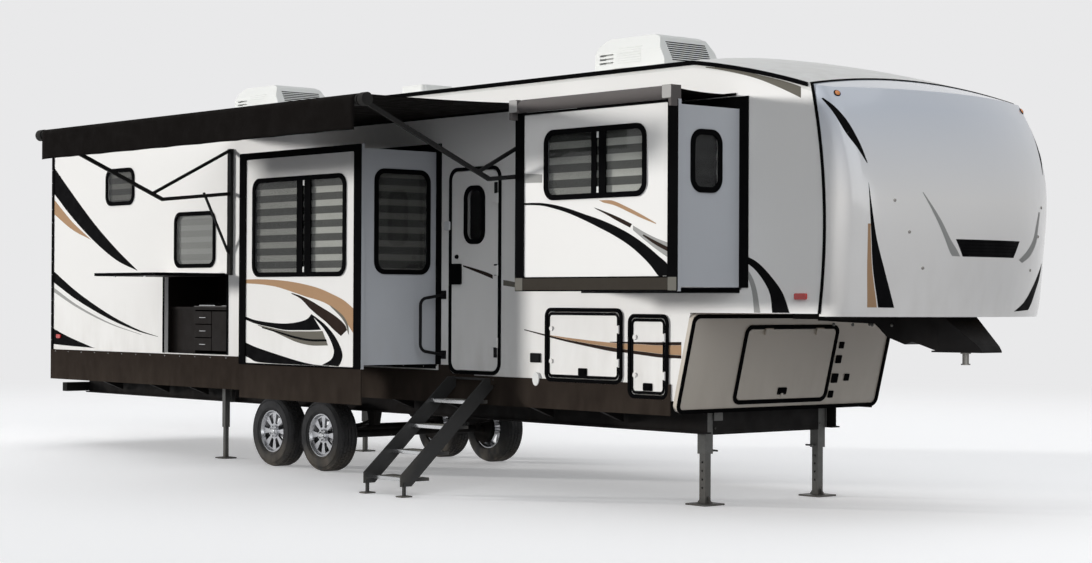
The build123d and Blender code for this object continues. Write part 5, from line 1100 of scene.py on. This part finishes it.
def cap_fittings():
    """A marker lamp at each upper corner, studs and a vent panel on the moulded cap."""
    tree = mesh_tree("front_cap")
    lamps, rings, studs, slats = Form(), Form(), Form(), Form()

    def ahead_at(spot, out):
        """The cap's front face straight behind a spot."""
        hit, normal, _, _ = tree.ray_cast(Vector((CAST_FROM_X, spot.y, spot.z)), -AHEAD)
        return hit + facing_ahead(normal) * out

    for side in (-1, 1):
        found, normal = nearest(tree, MARKER_AT, side)
        lamps.dome(found, normal, *MARKER)
        rings.dome(found, normal, *MARKER_RING)
    for at in CAP_STUDS:
        for side in (-1, 1):
            studs.dome(*nearest(tree, at, side), *STUD)
    piece(lamps, "cap_markers", amber_lens)
    piece(rings, "cap_marker_rings", black_trim)
    piece(studs, "cap_studs", forged)
    shares = [step / VENT_ROWS for step in range(VENT_ROWS + 1)]
    edges = [[Vector((0, side * between(VENT_HALF, share), between(VENT_Z, share))) for share in shares]
             for side in (-1, 1)]
    piece(film_between(*edges, ahead_at, VENT_COLUMNS), "cap_vent", film_black)
    for step in range(SLATS):
        share = (step + SLATS_START) / (SLATS + SLATS_END)
        half = between(SLAT_HALF, share)
        ends = [Vector((0, side * half, between(VENT_Z, share))) for side in (-1, 1)]
        row = [ahead_at(ends[0].lerp(ends[1], stop / SLAT_STEPS), SLAT_LIFT)
               for stop in range(SLAT_STEPS + 1)]
        slats.tube(row, SLAT_R, 6)
    piece(slats, "cap_vent_slats", black_trim)


def nearest(tree, at, side):
    """The cap's point nearest to a place, mirrored by side, and its forward normal."""
    x, y, z = at
    found, normal, _, _ = tree.find_nearest(Vector((x, side * y, z)))
    return found, facing_ahead(normal)


SCREW = (0.005, 0.002)
# x, distance off the wall, lowest height from the ground, pitch, count
CORNER_SCREWS = (-12.19, 0.014, 1.2, 0.15, 16)
SKIRT_SCREWS_X, SKIRT_SCREW_PITCH, SKIRT_SCREWS = -12.1, 0.3, 34
SKIRT_SCREW_Y = 1.231
SKIRT_STEP_X = -4.5
SKIRT_SCREW_HEIGHTS = (1.07, 0.985)
LIVING_SKIRT_X = -5.1


def wall_screws():
    """Screw heads along the corner trims and the skirts."""
    heads = Form()
    x, off, foot, pitch, count = CORNER_SCREWS
    for side in (-1, 1):
        outward = side * LEFTWARD
        for index in range(count):
            heads.dome(Vector((x, side * (WALL_Y + off), GROUND + foot + pitch * index)), outward, *SCREW)
        for index in range(SKIRT_SCREWS):
            screw_x = SKIRT_SCREWS_X + SKIRT_SCREW_PITCH * index
            if screw_x < LIVING_SKIRT_X or side > 0:
                z = GROUND + SKIRT_SCREW_HEIGHTS[screw_x >= SKIRT_STEP_X]
                heads.dome(Vector((screw_x, side * SKIRT_SCREW_Y, z)), outward, *SCREW)
    piece(heads, "screw_heads", bright)


LOCK_AT = (-4.720, 2.06)
LOCK_PROFILE = ((TIP_R, -0.022), (0.016, -0.020), (0.019, -0.012), (0.019, 0.0), (TIP_R, 0.0))
# Panels are x, heights from the ground, corner radius, near and far face
LOCK_COVER = ((-4.785, -4.655), (1.812, 1.998), 0.012, CLEAR, 0.0235)
HINGE_X, HINGE_SCREW_X = (-4.205, -4.158), -4.182
HINGE_HEIGHTS = (1.22, 1.94, 2.66)
HINGE_HALF_H, HINGE_T, HINGE_R = 0.05, 0.003, 0.008
HINGE_SCREWS, HINGE_SCREW = (-0.03, 0.0, 0.03), (0.004, 0.002)
PORCH_LAMP = ((-4.895, -4.815), (2.30, 2.38), 0.012, CLEAR, 0.022)


def door_fittings():
    """Lock, latch cover and hinges of the entry door, and the lamp beside it."""
    x, height = LOCK_AT
    black = Form().knob(LOCK_PROFILE, (x, DOOR_Y, GROUND + height))
    black.panel(ON_DOOR, *LOCK_COVER)
    piece(black, "door_lock", black_trim, "entry_door", bevel=0.001)
    hinges = Form()
    for height in HINGE_HEIGHTS:
        span = (height - HINGE_HALF_H, height + HINGE_HALF_H)
        hinges.panel(ON_DOOR, HINGE_X, span, HINGE_R, CLEAR, HINGE_T)
        for up in HINGE_SCREWS:
            at = Vector((HINGE_SCREW_X, DOOR_Y - HINGE_T, GROUND + height + up))
            hinges.dome(at, -LEFTWARD, *HINGE_SCREW)
    piece(hinges, "door_hinge_leaves", black_tube, "entry_door", bevel=0.0005)
    piece(Form().panel(ON_RIGHT_WALL, *PORCH_LAMP), "porch_lamp", clear_lens, bevel=0.004)


# name, x, height from the ground, place of the latch
HATCHES = (
    ("baggage_door_rear", (-3.480, -2.590), (1.020, 1.575), (-3.035, 1.075)),
    ("baggage_door_front", (-2.445, -2.048), (0.915, 1.530), (-2.247, 0.975)),
)
HATCH_R = 0.050
GASKET_INSETS = (0.001, 0.026)
# Share of the way from the gasket's outer to its inner edge, height off the door
GASKET_PROFILE = ((0, 0.0006), (0, 0.0022), (1, 0.0030), (1, 0.0006))
KEY_PROFILE = ((TIP_R, -0.016), (0.007, -0.016), (0.008, -0.012), (0.008, 0.0), (TIP_R, 0.0))
KEY_OFF = 0.028
# Half sizes, corner radius, near and far face of a latch's two plates
PADDLES = ((0.055, 0.032, 0.012, CLEAR, 0.006), (0.040, 0.018, 0.008, 0.006, 0.012))


def hatch_fittings():
    """Paddle latches and gaskets of the baggage doors."""
    for name, x, height, latch in HATCHES:
        u, v = latch[0], latch[1] + GROUND
        form = Form()
        for half_u, half_v, radius, near, far in PADDLES:
            form.plate(round_at(u, v, half_u, half_v, radius), ON_DOOR, near, far)
        form.knob(KEY_PROFILE, (u + KEY_OFF, DOOR_Y, v))
        piece(form, "latch_" + name, black_trim, name, bevel=0.001)
        low, high = lifted(height)
        edges = [rounded((x[0] + inset, x[1] - inset), (low + inset, high - inset), HATCH_R - inset)
                 for inset in GASKET_INSETS]
        rings = [[ON_DOOR(*pair[edge], out) for edge, out in GASKET_PROFILE] for pair in zip(*edges)]
        piece(Form().loft(rings, closed=True), "gasket_" + name, rubber, name)


POWER_BOX = ((-3.712, -3.578), (1.140, 1.221), 0.010, CLEAR, 0.010)
POWER_LID = ((-3.700, -3.590), (1.150, 1.206), 0.008, 0.010, 0.015)
FILLER_AT, FILLER_HALF, FILLER_T = (-3.628, 0.999), (0.043, 0.058), 0.019
ON_BAND = on_plane_y(-1.929)
BAND_ENDS = [(x, (1.752, 1.853), 0.004, CLEAR, 0.0024) for x in ((-3.086, -2.992), (-1.298, -1.204))]
BAND = ((-2.988, -1.302), (1.756, 1.849), 0.004, CLEAR, 0.0016)


def wall_fittings():
    """The shore power box, the oval filler lid and the bedroom slide's bottom band with its pale ends."""
    box = Form().panel(ON_RIGHT_WALL, *POWER_BOX).panel(ON_RIGHT_WALL, *POWER_LID)
    piece(box, "shore_power_box", black_tube, bevel=0.001)
    oval = [(FILLER_AT[0] + FILLER_HALF[0] * math.cos(turn), FILLER_AT[1] + FILLER_HALF[1] * math.sin(turn))
            for turn in turns(28)]
    lid = Form().plate(raised(oval), ON_RIGHT_WALL, CLEAR, FILLER_T)
    piece(lid, "filler_lid", cover, bevel=0.003)
    ends = Form()
    for panel in BAND_ENDS:
        ends.panel(ON_BAND, *panel)
    piece(ends, "bedroom_band_ends", band_end, "bedroom_slide", bevel=0.0006)
    piece(Form().panel(ON_BAND, *BAND), "bedroom_band", band_dark, "bedroom_slide", bevel=0.0004)


RAKE_LOW = Vector((-1.940, 0, -0.420))
RAKE_TOP = Vector((-1.730, 0, 0.390))
FRONT_LATCH_AT = (-0.025, 0.93)
FRONT_PADDLES = ((0.055, 0.030, 0.012, 0.0075, 0.013), (0.037, 0.016, 0.008, 0.013, 0.020))
# y, height from the ground, half width
FRONT_COVERS = ((0.615, 1.306, 0.028), (0.611, 1.186, 0.034), (0.608, 1.024, 0.040), (0.760, 1.029, 0.030),
                (0.597, 0.887, 0.030))


def rake_place(y, z, out):
    """A point on the raked front wall at (y, height in the frame), lifted by out."""
    along = RAKE_TOP - RAKE_LOW
    share = (z - RAKE_LOW.z) / along.z
    normal = Vector((along.z, 0, -along.x)).normalized()
    return Vector((RAKE_LOW.x + along.x * share, y, z)) + normal * out


def front_hatch_fittings():
    """The front hatch's latch and the square covers on the raked front wall."""
    u, v = FRONT_LATCH_AT[0], FRONT_LATCH_AT[1] + GROUND
    form = Form()
    for half_u, half_v, radius, near, far in FRONT_PADDLES:
        form.plate(round_at(u, v, half_u, half_v, radius), rake_place, near, far)
    piece(form, "latch_front_hatch", black_trim, "front_compartment_door", bevel=0.001)
    squares = Form()
    for y, height, half in FRONT_COVERS:
        squares.plate(round_at(y, height + GROUND, half, half, 0.006), rake_place, CLEAR, 0.010)
    piece(squares, "front_wall_covers", black_trim, bevel=0.002)


ROOF_VENTS = ((-10.9, 0.42), (-6.3, -0.35), (-4.7, 0.45))
VENT_BEAD_HALF, VENT_BEAD_CORNER = 0.25, 0.05
# Radius and height over the roof of the beads
VENT_BEAD, SEAM_BEAD = (0.010, 0.003), (0.007, 0.002)
ROOF_SEAMS_X = (-9.5, -6.1, -2.7)
SEAM_HALF_Y = 1.19
SEAM_STEPS = 40
CAST_FROM_Z = 4.0


def roof_fittings():
    """Sealant beads round the roof vents and across the roof's seams."""
    tree = mesh_tree("roof", "front_cap")

    def on_roof(x, y, lift):
        return tree.ray_cast(Vector((x, y, CAST_FROM_Z)), -UP)[0] + lift * UP

    beads = Form()
    for x, y in ROOF_VENTS:
        outline = round_at(x, y, VENT_BEAD_HALF, VENT_BEAD_HALF, VENT_BEAD_CORNER)
        beads.tube([on_roof(*spot, VENT_BEAD[1]) for spot in outline], VENT_BEAD[0], 8, closed=True)
    for x in ROOF_SEAMS_X:
        spots = [between((-SEAM_HALF_Y, SEAM_HALF_Y), step / SEAM_STEPS) for step in range(SEAM_STEPS + 1)]
        beads.tube([on_roof(x, y, SEAM_BEAD[1]) for y in spots], SEAM_BEAD[0], 8)
    piece(beads, "roof_sealant", sealant)


# Rear x, front x, top from the ground
AIR_CONDITIONERS = ((-9.760, -8.900, 3.980), (-3.890, -2.990, 4.000))
FRONT_FINS = [-0.235 + 0.020 * step for step in range(9)]
SIDE_FINS = [-0.230 + 0.022 * step for step in range(7)]
FIN_STEPS = 8
FRONT_FIN_Y, SIDE_FIN_X = (-0.24, 0.24), (0.30, 0.60)
FIN_CAST_X, FIN_CAST_Y = 0.5, 0.8
# Lift and radius
FRONT_FIN, SIDE_FIN = (0.002, 0.0045), (0.001, 0.004)


def add_fin(form, tree, starts, heading, lift, radius):
    """A fin where rays from the starts meet a unit."""
    hits = [tree.ray_cast(start, heading)[0] for start in starts]
    points = [hit - heading * lift for hit in hits if hit is not None]
    if len(points) > 2:
        form.tube(points, radius, 6)


def air_conditioner_grilles():
    """A dark finned intake on each unit's front face and pale fins on its sides."""
    tree = mesh_tree("roof_units")
    fronts, flanks = Form(), Form()
    shares = [step / FIN_STEPS for step in range(FIN_STEPS + 1)]
    for rear, front, top in AIR_CONDITIONERS:
        for below in FRONT_FINS:
            z = top + GROUND + below
            starts = [Vector((front + FIN_CAST_X, between(FRONT_FIN_Y, share), z)) for share in shares]
            add_fin(fronts, tree, starts, -AHEAD, *FRONT_FIN)
        for side in (-1, 1):
            for below in SIDE_FINS:
                z = top + GROUND + below
                starts = [Vector((rear + between(SIDE_FIN_X, share), side * FIN_CAST_Y, z))
                          for share in shares]
                add_fin(flanks, tree, starts, -side * LEFTWARD, *SIDE_FIN)
    piece(fronts, "unit_front_fins", black_trim)
    piece(flanks, "unit_side_fins", cover)


# Kitchen

COUNTER_Z = GROUND + 1.590
WORKTOP_X, WORKTOP_Y, WORKTOP_T = (-9.23, -8.54), (-1.165, -0.60), 0.012
TOP_Z = COUNTER_Z + WORKTOP_T
HOB = ((-9.20, -8.90), (-1.13, -0.70))
BURNER_X, BURNERS_Y, BURNER_R = -9.05, (-1.03, -0.80), 0.07
BAR_IN, BAR_OUT, POST_OUT, BAR_R = 0.02, 0.10, 0.095, 0.004
# Heights over the worktop of the hob's top, the burner rings and the bars
HOB_UP, RING_UP, BAR_UP = 0.009, 0.026, 0.028
SINK_AT = (-8.70, -0.95)
SINK = ((-8.80, -8.60), (-1.10, -0.80))
# Scale of the sink's outline and height over the worktop
SINK_STEPS = ((1.08, 0.0002), (1.08, 0.004), (1.0, 0.004), (0.97, -0.005), (0.94, -0.0105))
# y and height over the worktop along the tap's spout
TAP_PATH = ((-0.745, 0), (-0.745, 0.16), (-0.765, 0.20), (-0.81, 0.215), (-0.86, 0.205), (-0.88, 0.17))
TAP_R = 0.009
TAP_FOOT = ((TIP_R, 0.0), (0.022, 0.0), (0.020, 0.012), (TIP_R, 0.014))
ON_FRONTS, FRONT_R, FRONT_T = on_plane_y(-1.150), 0.006, 0.014
DRAWER_X, COLD_BOX_X = (-9.21, -8.891), (-8.879, -8.55)
DRAWER_HEIGHTS = ((1.135, 1.265), (1.275, 1.405), (1.415, 1.545))
COLD_BOX_HEIGHT = (1.135, 1.545)
PULL_X, PULL_POSTS_X, PULL_HEIGHTS = (-9.11, -8.99), (-9.10, -9.00), (1.20, 1.34, 1.48)
PULL_Y, PULL_POST_Y, PULL_R, PULL_POST_R = -1.170, -1.163, 0.004, 0.003


def on_worktop(x, y, up):
    return Vector((x, y, TOP_Z + up))


def hob():
    plate = Form().plate(rounded(*HOB, 0.02), on_worktop, 0.0002, 0.010)
    piece(plate, "hob_plate", bright, bevel=0.002)
    grate = Form()
    for burner_y in BURNERS_Y:
        centre = on_worktop(BURNER_X, burner_y, 0)
        ring = [turned(centre, "z", BURNER_R, RING_UP, turn) for turn in turns(32)]
        grate.tube(ring, BAR_R, 8, closed=True)
        for turn in turns(4):
            bar = [turned(centre, "z", radius, BAR_UP, turn) for radius in (BAR_IN, BAR_OUT)]
            post = [turned(centre, "z", POST_OUT, up, turn) for up in (HOB_UP, BAR_UP)]
            grate.rod(*bar, BAR_R)
            grate.rod(*post, BAR_R)
    piece(grate, "hob_grates", frame_paint)


def kitchen():
    """Worktop, hob, sink, tap, cold box door and drawers of the outdoor kitchen."""
    top = Form().block(WORKTOP_X, WORKTOP_Y, (COUNTER_Z + 0.0003, TOP_Z))
    piece(top, "worktop", stone, bevel=0.003)
    hob()
    x, y = SINK_AT
    rim = [(u - x, v - y) for u, v in rounded(*SINK, 0.04)]
    rings = [[on_worktop(x + u * scale, y + v * scale, up) for u, v in rim] for scale, up in SINK_STEPS]
    bowl = Form().loft(rings)
    piece(bowl, "sink_rim", bright)
    tap = Form().tube([on_worktop(x, tap_y, up) for tap_y, up in TAP_PATH], TAP_R, 12)
    tap.knob(TAP_FOOT, on_worktop(x, TAP_PATH[0][0], 0), axis="z")
    piece(tap, "tap", bright)
    fronts = Form()
    for span, height in (*((DRAWER_X, height) for height in DRAWER_HEIGHTS), (COLD_BOX_X, COLD_BOX_HEIGHT)):
        fronts.panel(ON_FRONTS, span, height, FRONT_R, 0.0, FRONT_T)
    piece(fronts, "kitchen_fronts", lining, bevel=0.002)
    pulls = Form()
    for z in lifted(PULL_HEIGHTS):
        pulls.rod((PULL_X[0], PULL_Y, z), (PULL_X[1], PULL_Y, z), PULL_R)
        for post_x in PULL_POSTS_X:
            pulls.rod((post_x, PULL_POST_Y, z), (post_x, PULL_Y, z), PULL_POST_R)
    piece(pulls, "kitchen_pulls", bright)


FLAP_X = (-9.724, -8.516)
FLAP_Y = (-2.063, -1.240)
FLAP_Z = lifted((1.909, 1.937))
EDGE_OUT, EDGE_GAP, EDGE_OVER = 0.0030, 0.0003, 0.0015
FLAP_LINING_T, LINING_INSET, LINING_WALL_INSET = 0.0030, 0.012, 0.035
FLAP_CATCHES_X, FLAP_CATCH_Y = (-9.42, -8.82), -2.000
FLAP_CATCH = ((TIP_R, -0.012), (0.012, -0.011), (0.014, -0.006), (0.014, 0.0), (TIP_R, 0.0))


def flap_fittings():
    """The lid's dark edge moulding, its lined underside and its two catches."""
    z = (FLAP_Z[0] - EDGE_OVER, FLAP_Z[1] + EDGE_OVER)
    edge = Form()
    edge.block((FLAP_X[0] - EDGE_OUT, FLAP_X[1] + EDGE_OUT), (FLAP_Y[0] - EDGE_OUT, FLAP_Y[0] - EDGE_GAP), z)
    edge.block((FLAP_X[0] - EDGE_OUT, FLAP_X[0] - EDGE_GAP), FLAP_Y, z)
    edge.block((FLAP_X[1] + EDGE_GAP, FLAP_X[1] + EDGE_OUT), FLAP_Y, z)
    piece(edge, "flap_edge", black_trim, "kitchen_flap", bevel=0.0008)
    low = FLAP_Z[0] - FLAP_LINING_T
    x = (FLAP_X[0] + LINING_INSET, FLAP_X[1] - LINING_INSET)
    y = (FLAP_Y[0] + LINING_INSET, FLAP_Y[1] - LINING_WALL_INSET)
    under = Form().block(x, y, (low, FLAP_Z[0] - CLEAR))
    piece(under, "flap_lining", lining, "kitchen_flap", bevel=0.0008)
    catches = Form()
    for x in FLAP_CATCHES_X:
        catches.knob(FLAP_CATCH, (x, FLAP_CATCH_Y, low), axis="z")
    piece(catches, "flap_catches", bright, "kitchen_flap")


# Steps, stands and pin

# y of the front edge and height from the ground of each tread
STEP_TREADS = [(-1.537 - 0.2137 * index, 0.798 - 0.2143 * index) for index in range(4)]
STEP_X = (-4.700, -4.195)
NOSE_OUT, NOSE_IN, NOSE_GAP, NOSE_TOP, NOSE_DROP = 0.0030, 0.030, 0.0003, 0.004, 0.027
GRIPS, GRIP_START, GRIP_PITCH, GRIP_W = 12, 0.045, 0.012, 0.004
GRIP_X = (STEP_X[0] + 0.02, STEP_X[1] - 0.02)
GRIP_LOW, GRIP_HIGH = 0.0002, 0.0025


def step_noses():
    """Bright nosings and grip bars on the treads."""
    noses, grips = Form(), Form()
    for front_y, height in STEP_TREADS:
        z = height + GROUND
        noses.block(STEP_X, (front_y - NOSE_OUT, front_y + NOSE_IN), (z + NOSE_GAP, z + NOSE_TOP))
        noses.block(STEP_X, (front_y - NOSE_OUT, front_y - NOSE_GAP), (z - NOSE_DROP, z + NOSE_GAP))
        for index in range(GRIPS):
            y = front_y + GRIP_START + GRIP_PITCH * index
            grips.block(GRIP_X, (y, y + GRIP_W), (z + GRIP_LOW, z + GRIP_HIGH))
    piece(noses, "step_noses", bright, "entry_steps", bevel=0.001)
    piece(grips, "step_grips", tread_grip, "entry_steps")


LEG_BOLTS_X, LEG_BOLTS_Z, LEG_FACE_Y = (-2.20, -2.06), (-0.56, -0.36), 0.640
LEG_BOLT, PIN_BOLT = (0.009, 0.008), (0.014, 0.012)
SHAFT_X, SHAFT_Z, SHAFT_R = -2.13, -0.45, 0.012
GEAR_CASE = ((-2.19, -2.07), (-0.640, -0.540), (-0.50, -0.38))
PIN_BOLTS_X, PIN_BOLTS_Y, PIN_BOLTS_Z = (-1.15, -0.95, -0.75, -0.55), 0.216, 0.30


def stand_details():
    """Bolts, a gear case and a cross shaft on the landing legs."""
    form = Form()
    for side in (-1, 1):
        for x in LEG_BOLTS_X:
            for z in LEG_BOLTS_Z:
                form.dome(Vector((x, side * LEG_FACE_Y, z)), -side * LEFTWARD, *LEG_BOLT)
    form.rod((SHAFT_X, -LEG_FACE_Y, SHAFT_Z), (SHAFT_X, LEG_FACE_Y, SHAFT_Z), SHAFT_R, 14)
    form.block(*GEAR_CASE)
    piece(form, "leg_gear", zinc, bevel=0.004)


def pin_details():
    """Bolts that hold the pin box."""
    bolts = Form()
    for side in (-1, 1):
        for x in PIN_BOLTS_X:
            bolts.dome(Vector((x, side * PIN_BOLTS_Y, PIN_BOLTS_Z)), side * LEFTWARD, *PIN_BOLT)
    piece(bolts, "pin_box_bolts", zinc)


# Stage, light and camera

PHOTO_W = 1092
PHOTO_FOCAL_PX = 2181.04
SENSOR_MM = 36.0
CAMERA_AT = Vector((10.5349, -13.4288, 0.4697))
CAMERA_YAW, CAMERA_PITCH, CAMERA_ROLL = 139.01302, 0.53721, 0.26527
CLIP_END = 500

BACKDROP = linear(233, 233, 234)
FLOOR_TONE = linear(246, 246, 247)
BOUNCE_TONE = linear(150, 150, 152)
FLOOR_HALF = 150.0
FLOOR_GLOW = 0.3
# The floor fades into the backdrop between these distances from the trailer's middle
FADE_FROM = (-6.0, 0.0, GROUND)
FADE = (9.0, 26.0)
FILL = 0.1
FILL_COLOUR = (0.94, 0.97, 1.0, 1.0)
# name, strength, angle, colour, heading, seen in gloss
SUNS = (
    ("key", 3.6, 6, (1.0, 0.985, 0.96), (0.805, 0.583, -0.105), False),
    ("front", 1.45, 60, (0.96, 0.98, 1.0), (-0.78, 0.50, -0.30), True),
    ("left", 1.1, 50, (0.98, 0.99, 1.0), (0.40, -0.88, -0.25), False),
    ("above", 0.9, 80, (0.98, 0.99, 1.0), (0.0, 0.0, -1.0), True),
)


def link_object(name, data):
    made = bpy.data.objects.new(name, data)
    bpy.context.scene.collection.objects.link(made)
    return made


def new_node(nodes, kind, **settings):
    made = nodes.new(kind)
    for key, setting in settings.items():
        setattr(made, key, setting)
    return made


def seen_rays(nodes, links):
    """1 for rays that the eye, a mirror or glass sends out."""
    path = nodes.new("ShaderNodeLightPath").outputs
    first = new_node(nodes, "ShaderNodeMath", operation="MAXIMUM")
    second = new_node(nodes, "ShaderNodeMath", operation="MAXIMUM")
    links.new(path["Is Camera Ray"], first.inputs[0])
    links.new(path["Is Glossy Ray"], first.inputs[1])
    links.new(first.outputs["Value"], second.inputs[0])
    links.new(path["Is Transmission Ray"], second.inputs[1])
    return second.outputs["Value"]


def mix_shaders(nodes, links, share, first, second):
    blend = nodes.new("ShaderNodeMixShader")
    links.new(share, blend.inputs["Fac"])
    links.new(first, blend.inputs[1])
    links.new(second, blend.inputs[2])
    return blend.outputs["Shader"]


def floor_material():
    """Pale and matt, fading into the backdrop, and weaker in the light that it sends back."""
    material = bpy.data.materials.new("floor")
    material.use_nodes = True
    nodes, links = material.node_tree.nodes, material.node_tree.links
    shader = nodes["Principled BSDF"]
    for name, value in (("Base Color", FLOOR_TONE), ("Roughness", 0.9), ("Specular IOR Level", 0.1),
                        ("Emission Color", BACKDROP), ("Emission Strength", FLOOR_GLOW)):
        shader.inputs[name].default_value = value
    glow = nodes.new("ShaderNodeEmission")
    glow.inputs["Color"].default_value = BACKDROP
    distance = new_node(nodes, "ShaderNodeVectorMath", operation="DISTANCE")
    links.new(nodes.new("ShaderNodeTexCoord").outputs["Object"], distance.inputs[0])
    distance.inputs[1].default_value = FADE_FROM
    fade = new_node(nodes, "ShaderNodeMapRange", interpolation_type="SMOOTHSTEP")
    fade.inputs["From Min"].default_value, fade.inputs["From Max"].default_value = FADE
    links.new(distance.outputs["Value"], fade.inputs["Value"])
    seen = new_node(nodes, "ShaderNodeMath", operation="MULTIPLY")
    links.new(fade.outputs["Result"], seen.inputs[0])
    links.new(seen_rays(nodes, links), seen.inputs[1])
    look = mix_shaders(nodes, links, seen.outputs["Value"], shader.outputs["BSDF"], glow.outputs["Emission"])
    bounce = nodes.new("ShaderNodeBsdfDiffuse")
    bounce.inputs["Color"].default_value = BOUNCE_TONE
    whole = mix_shaders(nodes, links, seen_rays(nodes, links), bounce.outputs["BSDF"], look)
    links.new(whole, nodes["Material Output"].inputs["Surface"])
    return material


def stage():
    mesh = bpy.data.meshes.new("floor")
    outline = corners((-FLOOR_HALF, FLOOR_HALF), (-FLOOR_HALF, FLOOR_HALF))
    mesh.from_pydata([(x, y, GROUND) for x, y in outline], [], [(0, 1, 2, 3)])
    mesh.materials.append(floor_material())
    link_object("floor", mesh)


def lights():
    """A soft low key from the rear right, weaker suns around it and an even fill."""
    world = bpy.data.worlds.new("studio")
    bpy.context.scene.world = world
    world.use_nodes = True
    nodes, links = world.node_tree.nodes, world.node_tree.links
    fill = nodes["Background"]
    fill.inputs["Color"].default_value = FILL_COLOUR
    fill.inputs["Strength"].default_value = FILL
    back = nodes.new("ShaderNodeBackground")
    back.inputs["Color"].default_value = BACKDROP
    seen = seen_rays(nodes, links)
    sky = mix_shaders(nodes, links, seen, fill.outputs["Background"], back.outputs["Background"])
    links.new(sky, nodes["World Output"].inputs["Surface"])
    for name, energy, angle, colour, heading, in_gloss in SUNS:
        data = bpy.data.lights.new(name, "SUN")
        data.energy = energy
        data.angle = math.radians(angle)
        data.color = colour
        lamp = link_object(name, data)
        lamp.rotation_mode = "QUATERNION"
        lamp.rotation_quaternion = Vector(heading).to_track_quat("-Z", "Y")
        lamp.visible_glossy = in_gloss


def camera():
    yaw, pitch, roll = (math.radians(angle) for angle in (CAMERA_YAW, CAMERA_PITCH, CAMERA_ROLL))
    ahead = Vector((math.cos(yaw) * math.cos(pitch), math.sin(yaw) * math.cos(pitch), math.sin(pitch)))
    right = Vector((math.sin(yaw), -math.cos(yaw), 0))
    up = right.cross(ahead)
    image_right = math.cos(roll) * right + math.sin(roll) * up
    image_up = -math.sin(roll) * right + math.cos(roll) * up
    data = bpy.data.cameras.new("camera")
    data.sensor_width = SENSOR_MM
    data.lens = PHOTO_FOCAL_PX / PHOTO_W * SENSOR_MM
    data.clip_end = CLIP_END
    eye = link_object("camera", data)
    turn = Matrix((image_right, image_up, -ahead)).transposed()
    eye.matrix_world = Matrix.Translation(CAMERA_AT) @ turn.to_4x4()
    bpy.context.scene.camera = eye
    bpy.context.scene.view_settings.view_transform = "Standard"


dress_nodes()
camera()
lights()
stage()
awning()
topper()
dress_windows()
stripe_walls()
stripe_cap()
running_gear()
slide_seals()
cap_fittings()
wall_screws()
door_fittings()
hatch_fittings()
wall_fittings()
front_hatch_fittings()
roof_fittings()
air_conditioner_grilles()
kitchen()
flap_fittings()
step_noses()
stand_details()
pin_details()
